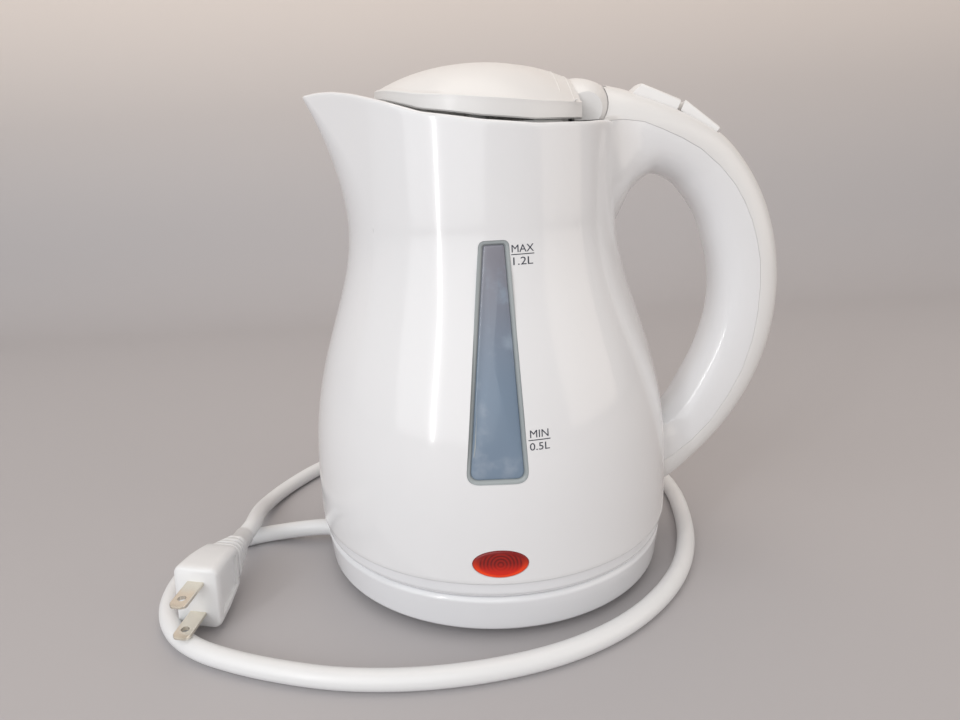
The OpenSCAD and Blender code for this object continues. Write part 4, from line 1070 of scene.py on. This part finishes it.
@dataclass
class Jug:
    """The jug's shell with its lip, and what is set into its front."""

    sides: int = 216
    rows: int = 120
    inner_rows: int = 60
    lip_steps: int = 8
    rim_start: float = 180.0
    rim_rounds: int = 25
    rim_spread: float = 2.5
    hollow: tuple = (22, 215, 80)
    window_low_r: float = 4.2
    window_top_r: float = 2.4
    least_r: float = 0.5
    arm_slot: tuple = ((46, 159), (54, 181), 2.4)
    arm_slot_y: float = 0.012
    latch_slot: tuple = ((44, 163.6), (54, 179.6), 5.4)

    def spots(self) -> list[tuple[float, float, float]]:
        """Places round the section: two directions and the share of the way between them."""
        turn = math.acos((TOP_R - TIP_R) / (TIP_REACH - TIP_R))
        angles = []
        for i in range(self.sides):
            a = math.tau * (i + 0.5) / self.sides
            angles.append((a, a, 0.0))
        for edge in (math.pi - turn, math.pi + turn):
            angles += [(edge - 1e-4, edge + 1e-4, k / 16) for k in range(17)]
        return sorted(angles, key=lambda spot: spot[0] + spot[2] * 2e-4)

    def spot_point(self, z: float, inset: float, spot: tuple[float, float, float]) -> Point:
        """Point of the section at a height, moved in by inset."""
        a, b, share = spot
        p, q = body_point(z, inset, a), body_point(z, inset, b)
        return (p[0] + (q[0] - p[0]) * share, p[1] + (q[1] - p[1]) * share, z)

    def rim_height(self, spot: tuple[float, float, float], inset: float) -> float:
        """Height of the rim at a place round the section."""
        z = self.rim_start
        for _ in range(self.rim_rounds):
            z = smooth_lookup(self.spot_point(z, inset, spot)[0], RIM, self.rim_spread)
        return z

    def solid(self, wall: Wall) -> bpy.types.Object:
        """The shell, or the solid that fills its inside and stands above it."""
        spots = self.spots()
        if wall is Wall.INSIDE:
            rings = [[self.spot_point(z, WALL, a) for a in spots]
                     for z in np.linspace(*self.hollow)]
            return make_object("inside", *skin(rings))
        tops = [self.rim_height(a, 0.0) for a in spots]
        r = WALL / 2
        rings: list[list[Point]] = []
        for inset, dz in ((WALL, 0.0), (0.6, 0.0), (0.15, 0.15), (0.0, 0.5)):
            rings.append([self.spot_point(BODY_Z + dz, inset, a) for a in spots])
        for k in range(1, self.rows + 1):
            t = k / self.rows
            rings.append([self.spot_point(BODY_Z + 0.5 + (top - r - BODY_Z - 0.5) * t, 0.0, a)
                          for a, top in zip(spots, tops)])
        for s in range(1, self.lip_steps + 1):
            b = math.pi * s / self.lip_steps
            rings.append([self.spot_point(top - r + r * math.sin(b), r - r * math.cos(b), a)
                          for a, top in zip(spots, tops)])
        for k in range(1, self.inner_rows + 1):
            t = k / self.inner_rows
            rings.append([self.spot_point(top - r + (LEDGE_Z + LEDGE_T - top + r) * t, WALL, a)
                          for a, top in zip(spots, tops)])
        for radius, z in ((LEDGE_R, LEDGE_Z + LEDGE_T), (LEDGE_R, LEDGE_Z)):
            rings.append([(radius * math.cos(a[0]), radius * math.sin(a[0]), z) for a in spots])
        rings.append([self.spot_point(LEDGE_Z, WALL, a) for a in spots])
        rings.append(rings[0])
        return make_object("jug_shell", *skin(rings, caps=False))

    def window_ring(self, grow: float, y: float, count: int = 8) -> list[Point]:
        """Outline of the gauge window, rounded at its corners, at a depth y."""
        lo, hi = WINDOW_W / 2 + grow, WINDOW_TOP_W / 2 + grow
        z0, z1 = WINDOW_Z - grow, WINDOW_Z + WINDOW_H + grow
        low = max(self.window_low_r + grow, self.least_r)
        high = max(self.window_top_r + grow, self.least_r)
        corners = [(-lo, z0, low), (lo, z0, low), (WINDOW_LEAN + hi, z1, high),
                   (WINDOW_LEAN - hi, z1, high)]
        return [(x, y, z) for x, z in rounded_profile(corners, count)[:-1]]

    def lens_ring(self, grow: float, y: float, count: int = 64) -> list[Point]:
        """Outline of the lamp lens at a depth y."""
        wide, high = LENS_W / 2 + grow, LENS_H / 2 + grow
        angles = [math.tau * k / count for k in range(count)]
        return [(wide * math.cos(a), y, LENS_Z + high * math.sin(a)) for a in angles]

    def front_patch(self, name: str, outline: Callable[[float], list[Point]],
                    levels: Sequence[tuple[float, float]], back: float) -> bpy.types.Object:
        """A piece whose face follows the jug's front.

        Args:
            name: Name of the piece.
            outline: Gives the outline for a growth.
            levels: (growth of the outline, distance in front of the jug's face), edge to middle.
            back: Distance behind the jug's face of its back.

        Returns:
            The piece.
        """
        def wrap(p: Point, stand: float) -> Point:
            """Moves a point on to the jug's front."""
            r = body_radius(p[2]) + stand
            return (p[0], -math.sqrt(max(r * r - p[0] ** 2, 0.0)), p[2])
        rings = [[wrap(p, -back) for p in outline(levels[0][0])]]
        rings += [[wrap(p, stand) for p in outline(grow)] for grow, stand in levels]
        z_mid = float(np.mean(np.array(rings[-1]), axis=0)[2])
        for s in np.linspace(0.92, 0.04, 16):
            ring = [(p[0] * s, p[1], z_mid + (p[2] - z_mid) * s) for p in outline(levels[-1][0])]
            rings.append([wrap(p, levels[-1][1]) for p in ring])
        return make_object(name, *skin(rings))

    def lettering(self, words: str, arc: tuple[float, float], z: float,
                  high: float) -> bpy.types.Object:
        """Raised letters on the jug's front.

        Args:
            words: The letters.
            arc: Where they start and end, as lengths round the jug from its front line.
            z: Height of their foot.
            high: Height of the letters.

        Returns:
            The letters as a mesh.
        """
        curve = bpy.data.curves.new("letters", "FONT")
        curve.body = words
        curve.resolution_u = 4
        obj = placed("letters", curve)
        bpy.context.view_layer.update()
        graph = bpy.context.evaluated_depsgraph_get()
        mesh = bpy.data.meshes.new_from_object(obj.evaluated_get(graph))
        bpy.data.objects.remove(obj)
        with edited(mesh) as bm:
            bmesh.ops.triangulate(bm, faces=bm.faces)
            flat = bmesh.ops.extrude_face_region(bm, geom=bm.faces[:])
            front = {v for v in flat["geom"] if isinstance(v, bmesh.types.BMVert)}
            xs, ys = [v.co.x for v in bm.verts], [v.co.y for v in bm.verts]
            for v in bm.verts:
                along = arc[0] + (v.co.x - min(xs)) / (max(xs) - min(xs)) * (arc[1] - arc[0])
                height = z + (v.co.y - min(ys)) / (max(ys) - min(ys)) * high
                r = body_radius(height)
                stand = r + (MARK_STAND if v in front else -MARK_STAND)
                v.co = Vector((stand * math.sin(along / r), -stand * math.cos(along / r),
                               height)) * MM
            bmesh.ops.recalc_face_normals(bm, faces=bm.faces)
        return placed("letters", mesh)

    def rule(self, arc: tuple[float, float], z: float, thick: float) -> bpy.types.Object:
        """A thin level line round a part of the jug's front."""
        rings = []
        for along in np.linspace(*arc, 13):
            ring = []
            for height, stand in ((z - thick / 2, -MARK_STAND), (z - thick / 2, MARK_STAND),
                                  (z + thick / 2, MARK_STAND), (z + thick / 2, -MARK_STAND)):
                r = body_radius(height)
                ring.append(((r + stand) * math.sin(along / r),
                             -(r + stand) * math.cos(along / r), height))
            rings.append(ring)
        return make_object("rule", *skin(rings))

    def marks(self) -> bpy.types.Object:
        """The full and least level marks beside the window."""
        parts = [self.lettering(words, *spot) if words else self.rule(*spot)
                 for words, *spot in MARKS]
        return join("level_marks", parts)

    def build(self, wardrobe: Wardrobe) -> None:
        """Makes the shell, its window, marks and lamp lens."""
        shell = self.solid(Wall.SHELL)
        smooth = shell.copy()
        smooth.data = shell.data.copy()
        bpy.context.scene.collection.objects.link(smooth)
        window = make_object("window_cut", *skin([self.window_ring(0.0, y) for y in (-FAR, -30)]))
        lens = make_object("lens_cut", *skin([self.lens_ring(0.0, y) for y in (-FAR, -60)]))
        barrel = hinge_barrel("barrel_cut", HINGE_GAP, END_GAP)
        slots = [block("slot", *self.arm_slot) for _ in (0, 1)]
        for tool, side in zip(slots, (-1, 1)):
            tool.data.transform(Matrix.Translation((0, side * self.arm_slot_y, 0)))
        latch = block("latch_cut", *self.latch_slot)
        cut(shell, [window, lens, barrel, *slots, latch])
        crease(shell, 30)
        keep_normals(shell, smooth)
        blend_into_handle(shell, Handle().moulding("handle_form", False), Handle().reach)
        wardrobe.dress(shell, "body_plastic", "kettle", "body_shell")
        pane = self.front_patch("gauge_pane", lambda g: self.window_ring(g, 0),
                                ((-1.5, -1.4), (-1.6, -0.95), (-1.9, -0.72), (-2.4, -0.66)), 3.2)
        frame_ring = self.front_patch("gauge_frame", lambda g: self.window_ring(g, 0),
                                      ((-0.02, -0.32), (-0.15, -0.22), (-0.5, -0.26),
                                       (-1.0, -0.36), (-1.2, -0.6), (-1.5, -1.2)), 2.9)
        frame_ring.data.materials.append(wardrobe.make(GAUGE_FRAME))
        pane.data.materials.append(wardrobe.get("window_clear"))
        gauge = join("gauge_window_pane", [crease(frame_ring, 40), crease(pane, 40)], keep=True)
        wardrobe.carry(gauge, "window_clear", "kettle", "gauge_window")
        marks = self.marks()
        marks.data.materials.append(wardrobe.make(MARK_INK))
        wardrobe.carry(marks, "dark_plastic", "kettle")
        dome = self.front_patch("lamp_lens_dome", lambda g: self.lens_ring(g, 0),
                                ((-0.12, -0.4), (-0.2, -0.02), (-0.45, 0.2), (-0.9, 0.3),
                                 (-1.6, 0.34), (-2.2, 0.22), (-2.5, 0.2)), 1.5)
        crease(dome, 50)
        wardrobe.dress(dome, "lens_red", "kettle", "lamp_lens")


# how far, in metres, a cut face may lie from the smooth form whose normals it takes
NORMAL_REACH = 0.00003
# normals are turned only beyond HANDLE_SIDE in x, and on the handle only RIM_FREE below the rim
HANDLE_SIDE, RIM_FREE = 20.0, 15.0
# least cosine between a face's normal and the jug's: for a face of the handle, and of the jug
AWAY, OUTWARD = -0.35, 0.8


def keep_normals(obj: bpy.types.Object, source: bpy.types.Object) -> None:
    """Gives a cut piece the normals of the smooth form it was cut from, and deletes that form."""
    transfer = obj.modifiers.new("normals", "DATA_TRANSFER")
    transfer.object = source
    transfer.use_loop_data = True
    transfer.data_types_loops = {"CUSTOM_NORMAL"}
    transfer.loop_mapping = "POLYINTERP_NEAREST"
    transfer.use_max_distance = True
    transfer.max_distance = NORMAL_REACH
    finished_mesh(obj)
    bpy.data.objects.remove(source)


def jug_normal(x: float, y: float, z: float) -> Vector:
    """Direction in which the jug's outer face looks beside a point."""
    slope = (body_radius(z + 0.25) - body_radius(z - 0.25)) / 0.5
    r = max(math.hypot(x, y), 1e-6)
    return Vector((x / r, y / r, -slope)).normalized()


def share_at(distance: float, reach: float) -> float:
    """Share of a face's own normal at a distance from the other form, from a half up to one."""
    t = min(max(distance / reach, 0.0), 1.0)
    return 0.5 + 0.5 * t * t * (3 - 2 * t)


def blend_into_jug(obj: bpy.types.Object, reach: float) -> None:
    """Turns a handle piece's normals towards the jug's near the jug, as a fillet would.

    Args:
        obj: The piece.
        reach: Distance over which the normals change, in millimetres.
    """
    mesh = obj.data
    own = [Vector(n.vector) for n in mesh.corner_normals]
    for i, loop in enumerate(mesh.loops):
        x, y, z = (c / MM for c in mesh.vertices[loop.vertex_index].co)
        distance = math.hypot(x, y) - body_radius(z)
        if x < HANDLE_SIDE or distance >= reach or z > RIM_TOP - RIM_FREE:
            continue
        if own[i].dot(jug_normal(x, y, z)) < AWAY:
            continue
        share = share_at(distance, reach)
        own[i] = (own[i] * share + jug_normal(x, y, z) * (1 - share)).normalized()
    mesh.normals_split_custom_set(own)


def blend_into_handle(obj: bpy.types.Object, form: bpy.types.Object, reach: float) -> None:
    """Turns the jug's normals towards the handle's near the handle, and deletes the handle's form.

    Args:
        obj: The jug's shell.
        form: The uncut form of the handle.
        reach: Distance over which the normals change, in millimetres.
    """
    mesh, other = obj.data, form.data
    tree = BVHTree.FromPolygons([v.co for v in other.vertices],
                                [tuple(f.vertices) for f in other.polygons])
    own = [Vector(n.vector) for n in mesh.corner_normals]
    for i, loop in enumerate(mesh.loops):
        point = mesh.vertices[loop.vertex_index].co
        x, y, z = (c / MM for c in point)
        if x < HANDLE_SIDE or own[i].dot(jug_normal(x, y, z)) < OUTWARD:
            continue
        _, _, number, distance = tree.find_nearest(point, reach * MM)
        if number is None:
            continue
        near = Vector((0, 0, 0))
        for v in other.polygons[number].vertices:
            near += other.vertices[v].normal / ((other.vertices[v].co - point).length + 0.0002)
        share = share_at(distance / MM, reach)
        own[i] = (own[i] * share + near.normalized() * (1 - share)).normalized()
    mesh.normals_split_custom_set(own)
    bpy.data.objects.remove(form)


def hinge_barrel(name: str, gap: float, ends: float) -> bpy.types.Object:
    """The round of the lid's hinge about its axis.

    Args:
        name: Name of the piece.
        gap: How much larger its radius is.
        ends: How much further it reaches at each end.

    Returns:
        The piece.
    """
    arc = (BARREL_HALF ** 2 + (BARREL_R - BARREL_END_R) ** 2) / (2 * (BARREL_R - BARREL_END_R))
    half = BARREL_HALF + ends
    rings = []
    for y in np.linspace(-half, half, 41):
        r = BARREL_R - arc + math.sqrt(max((arc + gap) ** 2 - y * y, 0.0))
        rings.append([(HINGE_X + r * math.cos(a), y, HINGE_Z + r * math.sin(a))
                      for a in around(96)])
    return make_object(name, *skin(rings))


# ---------------------------------------------------------------- handle

@dataclass
class Handle:
    """The loop handle: its inner moulding and its cover, with pockets for the keys on top."""

    steps: int = 8
    half_points: int = 26
    reach: float = 13.0
    cover_reach: float = 4.0
    seam_gap: float = 0.05
    seam_round: float = 0.08
    split_limit: float = 0.85
    pocket_z: tuple = (-14.0, 16.0)
    key_travel: float = 2.2
    switch_room: float = 0.25

    def stations(self) -> list[tuple[np.ndarray, np.ndarray, float]]:
        """Smooth stations: outer point, inner point and half width."""
        outer = catmull([s[0] for s in HANDLE], self.steps)
        inner = catmull([s[1] for s in HANDLE], self.steps)
        width = catmull([(s[2], 0.0) for s in HANDLE], self.steps)
        return [(o, i, GRIP_HALF + float(w[0])) for o, i, w in zip(outer, inner, width)]

    def split(self, outer: np.ndarray, inner: np.ndarray) -> float:
        """Where the seam crosses a station, from -1 at its inner point to 1 at its outer point."""
        d = outer - inner
        best = 0.0
        for a, b in zip(SEAM, SEAM[1:]):
            p, e = np.array(a, float), np.array(b, float) - np.array(a, float)
            det = d[0] * -e[1] + d[1] * e[0]
            if abs(det) < 1e-9:
                continue
            q = p - inner
            t = (q[0] * -e[1] + q[1] * e[0]) / det
            s = (d[0] * q[1] - d[1] * q[0]) / det
            if -0.02 <= s <= 1.02 and 0.0 <= t <= 1.0:
                best = 2 * t - 1
        return max(-self.split_limit, min(self.split_limit, best))

    def section(self, station: tuple[np.ndarray, np.ndarray, float], cover: bool) -> list[Point]:
        """The closed section of one moulding: its outer face, then its inner face.

        Args:
            station: Outer point, inner point and half width.
            cover: Whether the part outside the seam is wanted.

        Returns:
            The points of the section.
        """
        outer, inner, w = station
        centre, d = (outer + inner) / 2, outer - inner
        h = float(np.linalg.norm(d)) / 2
        d = d / (2 * h)
        gap = self.seam_gap / h
        cut_at = self.split(outer, inner) + (gap if cover else -gap)
        ring: list[Point] = []
        for inset, order in ((0.0, 1), (GRIP_WALL, -1)):
            hh, ww = h - inset, w - inset
            u0 = max(-0.999, min(0.999, cut_at * h / hh))
            t0 = math.acos(math.copysign(abs(u0) ** (SECTION_POWER / 2), u0))
            span = (-t0, t0) if cover else (t0, math.tau - t0)
            arc = np.linspace(*span, 2 * self.half_points + 1)[::order]
            for k, t in enumerate(arc):
                c, s = math.cos(t), math.sin(t)
                u = hh * math.copysign(abs(c) ** (2 / SECTION_POWER), c)
                y = ww * math.copysign(abs(s) ** (2 / SECTION_POWER), s)
                if inset == 0.0 and k in (0, len(arc) - 1):
                    y *= 1 - self.seam_round / w
                ring.append((centre[0] + d[0] * u, y, centre[1] + d[1] * u))
        return ring

    def moulding(self, name: str, cover: bool) -> bpy.types.Object:
        """One of the two mouldings along the handle."""
        rings = [self.section(s, cover) for s in self.stations()]
        return make_object(name, *skin(rings))

    def key_pocket(self, name: str, gap: float, top: bool) -> bpy.types.Object:
        """Solid that clears one key, with its curved ends."""
        outline = button_outline(gap) if top else switch_outline(gap + self.switch_room)
        front = -self.key_travel if top else 0.0
        rings = [[(x + (front if x < 1 else 0.0), y, z) for x, y in outline]
                 for z in self.pocket_z]
        obj = make_object(name, *skin(rings))
        obj.data.transform(key_matrix(top))
        return obj

    def build(self, wardrobe: Wardrobe) -> None:
        """Makes both mouldings and cuts them where the jug, the hinge and the keys are."""
        inner = self.moulding("grip_inner", False)
        cut(inner, [Jug().solid(Wall.INSIDE), hinge_barrel("barrel_cut", HINGE_GAP, END_GAP)])
        crease(inner, 30)
        blend_into_jug(inner, self.reach)
        wardrobe.dress(inner, "body_plastic", "kettle", "handle_frame")
        cover = self.moulding("grip_cover", True)
        front = block("front_cut", (10, 140), (HINGE_X + 2.4, 220), 60)
        sweep = hinge_barrel("sweep_cut", SWEEP_GAP, END_GAP)
        cut(sweep, [block("sweep_half", (20, 120), (FAR, HINGE_Z + SWEEP_LOW), 70)])
        cut(cover, [front, hinge_barrel("barrel_cut", COVER_GAP, END_GAP), sweep,
                    self.key_pocket("pocket_a", KEY_GAP, True),
                    self.key_pocket("pocket_b", KEY_GAP, False)])
        crease(cover, 30)
        blend_into_jug(cover, self.cover_reach)
        wardrobe.dress(cover, "lid_plastic", "kettle", "handle_cover")


def key_rear(length: float, radius: float, gap: float) -> list[tuple[float, float]]:
    """The curved rear end of a key's plan.

    Args:
        length: Length of the key.
        radius: Radius of its end.
        gap: How much larger the plan is.

    Returns:
        The points of the end.
    """
    r = radius + gap
    lim = math.asin((KEY_HALF + gap) / r)
    return [(length - radius + r * math.cos(a), r * math.sin(a))
            for a in np.linspace(-lim, lim, 17)]


def button_outline(gap: float) -> list[tuple[float, float]]:
    """Plan of the release button in its own frame."""
    half = KEY_HALF + gap
    front = [(BUTTON_FRONT - gap, y) for y in np.linspace(half, -half, 9)]
    return key_rear(BUTTON_LEN, KEY_ARC, gap) + front


def switch_outline(gap: float) -> list[tuple[float, float]]:
    """Plan of the power switch in its own frame."""
    half = KEY_HALF + gap
    front = [(SWITCH_FRONT, half), (SWITCH_FRONT, -half)]
    return key_rear(SWITCH_LEN, SWITCH_ARC, gap) + front


def key_matrix(top: bool) -> Matrix:
    """Place of a key's own frame: x runs down the slope and z is the normal of its top."""
    at, tilt = (BUTTON_AT, BUTTON_TILT) if top else (SWITCH_AT, SWITCH_TILT)
    place = Matrix.Translation((at[0] * MM, 0, at[1] * MM))
    return place @ Matrix.Rotation(math.radians(tilt), 4, "Y")


@dataclass
class Keys:
    """The release button and the power switch on top of the handle."""

    button_deep: float = 7.0
    button_lean: float = 2.6
    switch_deep: float = 4.6
    edge: float = 0.8
    crown_steps: tuple = (2, 3, 4.5, 6, 7.2, 7.8)

    def key(self, name: str, outline: Sequence[tuple[float, float]], deep: float,
            lean: float) -> bpy.types.Object:
        """A key with a crowned top and rounded edges, in its own frame.

        Args:
            name: Name of the piece.
            outline: Its plan.
            deep: Its depth.
            lean: How far its front end reaches forward at its foot.

        Returns:
            The key.
        """
        pts = np.array(outline)
        middle = (pts.max(0) + pts.min(0)) / 2
        half = (pts.max(0) - pts.min(0)) / 2

        def ring(inset: float, drop: float) -> list[Point]:
            """The plan moved in by inset and lowered by drop."""
            s = 1 - inset / half
            q = middle + (pts - middle) * s
            return [(float(x), float(y), -float(y) ** 2 / (2 * CROWN_R) - drop) for x, y in q]
        rings = [[(float(x) - (lean if x < 1 else 0.0), float(y), -deep) for x, y in pts]]
        for a in np.linspace(0, math.pi / 2, 6):
            rings.append(ring(self.edge * (1 - math.cos(a)), self.edge * (1 - math.sin(a))))
        for s in self.crown_steps:
            rings.append(ring(s, 0))
        return make_object(name, *skin(rings))

    def build(self, wardrobe: Wardrobe) -> None:
        """Makes both keys."""
        button = self.key("release_key", button_outline(0.0), self.button_deep, self.button_lean)
        button.data.transform(key_matrix(True))
        crease(button, 45)
        wardrobe.dress(button, "key_plastic", "release_button", "release_button")
        switch = self.key("power_key", switch_outline(0.0), self.switch_deep, 0.0)
        r = KEY_ARC + KEY_SPLIT
        arc = [[(BUTTON_LEN - KEY_ARC + r * math.cos(a), r * math.sin(a), z) for a in around(96)]
               for z in (-30, 30)]
        scoop = make_object("scoop", *skin(arc))
        scoop.data.transform(key_matrix(True))
        switch.data.transform(key_matrix(False))
        cut(switch, [scoop])
        crease(switch, 45)
        wardrobe.dress(switch, "key_plastic", "power_switch", "power_switch")


# ---------------------------------------------------------------- lid

@dataclass
class Lid:
    """The domed lid and the hinge part behind it."""

    sides: int = 192
    ridge_scale: float = 0.955
    dome_power: float = 2.4
    band_scale: float = 0.992
    band_drop: float = 0.9
    edge_lift: float = 1.4
    bead_r: float = 0.32
    bead_sink: float = 0.12
    bead_end: float = 0.35
    bead_fade: float = 3.0
    beads: tuple = ((6.4, 30.0), (1.6, 34.6))
    arm_top: float = 2.5
    foot_drop: float = 3.7
    arm_half: float = 14.5

    def plan(self, a: float) -> tuple[float, float]:
        """Outline of the lid in plan."""
        return ((LID_FRONT if math.cos(a) < 0 else LID_R) * math.cos(a), LID_R * math.sin(a))

    def top_point(self, a: float, scale: float, inset: float) -> Point:
        """Point of the domed top."""
        fx, fy = self.plan(a)
        k = scale * (1 - inset / LID_R)
        t = min(scale / self.ridge_scale, 1.0)
        ridge = smooth_lookup(fx * self.ridge_scale, RIDGE)
        return (fx * k, fy * k, ridge + (LID_TOP - ridge) * (1 - t ** self.dome_power) - inset)

    def edge_point(self, a: float, inset: float, lift: float) -> Point:
        """Point of the lid's lower edge."""
        fx, fy = self.plan(a)
        k = 1 - inset / LID_R
        return (fx * k, fy * k, smooth_lookup(fx * k, RIM) + self.edge_lift + lift)

    def shell(self) -> bpy.types.Object:
        """The lid as one closed shell."""
        angles = [math.tau * (i + 0.5) / self.sides for i in range(self.sides)]
        scales = [*np.linspace(self.ridge_scale, 0.02, 40)]
        rings = [[self.top_point(a, s, LID_WALL) for a in angles] for s in reversed(scales)]
        for inset, lift in ((LID_WALL, 0.4), (LID_WALL - 0.3, 0.0), (0.4, 0.0), (0.0, 0.4)):
            rings.append([self.edge_point(a, inset, lift) for a in angles])
        lower = rings[-1]
        upper = [(x, y, z - self.band_drop)
                 for x, y, z in (self.top_point(a, self.band_scale, 0.0) for a in angles)]
        for t in np.linspace(0.15, 0.85, 6):
            rings.append([tuple(u * (1 - t) + v * t for u, v in zip(p, q))
                          for p, q in zip(lower, upper)])
        for scale, drop in ((0.994, 0.75), (0.988, 0.38), (0.976, 0.1)):
            rings.append([(x, y, z - drop) for x, y, z in (self.top_point(a, scale, 0.0)
                                                           for a in angles)])
        rings += [[self.top_point(a, s, 0.0) for a in angles] for s in scales]
        return make_object("lid_dome", *skin(rings))

    def bead(self, x: float, half: float) -> bpy.types.Object:
        """A fine raised line across the dome at a distance x, as long as half on both sides."""
        rings = []
        for y in np.linspace(-half, half, 61):
            scale = math.hypot(x, y) / LID_R
            px, py, pz = self.top_point(math.atan2(y, x), scale, self.bead_sink)
            share = min(1.0, self.bead_end + (half - abs(y)) / self.bead_fade)
            size = self.bead_r * share
            rings.append([(px + size * math.cos(a), py, pz + size * math.sin(a))
                          for a in around(12)])
        return make_object("bead", *skin(rings))

    def build(self, wardrobe: Wardrobe) -> None:
        """Makes the lid and its hinge part."""
        shell = self.shell()
        rear = block("rear_cut", (LID_CUT, 150), (FAR, 220), BARREL_HALF + END_GAP)
        end = block("end_cut", (LID_CUT + 1, 150), (FAR, 220), 70)
        cut(shell, [rear, end])
        crease(shell, 30)
        beads = [self.bead(LID_CUT - front, half) for front, half in self.beads]
        dome = join("lid_dome", [shell, *beads])
        wardrobe.dress(dome, "lid_plastic", "lid", "lid_cover")
        barrel = hinge_barrel("lid_barrel", 0.0, 0.0)
        back = LID_CUT - 1
        tools = [slab("crown", [(LID_CUT - 4, 192.6), (LID_CUT, 191.7), (38, 190.5), (44, 188.4),
                                (53, 184.6), (53, 210), (LID_CUT - 4, 210)], 70),
                 block("front_part", (-20, 130), (LID_CUT, 230), 70),
                 block("arm_space", (back, 120), (FAR, HINGE_Z + self.arm_top), self.arm_half),
                 block("foot", (back, 120), (FAR, HINGE_Z - self.foot_drop), 70)]
        cut(barrel, tools)
        core = hinge_barrel("core", -LID_WALL, 0.0)
        cut(core, [block("core_half", (back, 120), (FAR, 220), self.arm_half)],
            solver_mode="INTERSECT")
        cut(barrel, [core])
        crease(barrel, 30)
        wardrobe.dress(barrel, "lid_plastic", "lid", "lid_hinge")


# ---------------------------------------------------------------- carried-over parts

def dress_nodes(wardrobe: Wardrobe) -> None:
    """Gives every CAD node that still shows its finish."""
    slots = {entry["node"]: entry["material_slot"] for entry in frame["record"]["subparts"]}
    for name, obj in frame["nodes"].items():
        material = wardrobe.get(slots[name])
        if not obj.material_slots:
            obj.data.materials.append(None)
        for spot in obj.material_slots:
            spot.link = "OBJECT"
            spot.material = material


def main() -> None:
    """Builds the scene in order: camera and cord first, then the object from its base upwards."""
    logging.basicConfig(level=logging.INFO, format="%(message)s")
    Studio().build()
    wardrobe = Wardrobe()
    CordAndPlug().build(wardrobe)
    PowerBase().build(wardrobe)
    Jug().build(wardrobe)
    Handle().build(wardrobe)
    Keys().build(wardrobe)
    Lid().build(wardrobe)
    dress_nodes(wardrobe)


if __name__ == "__main__":
    main()
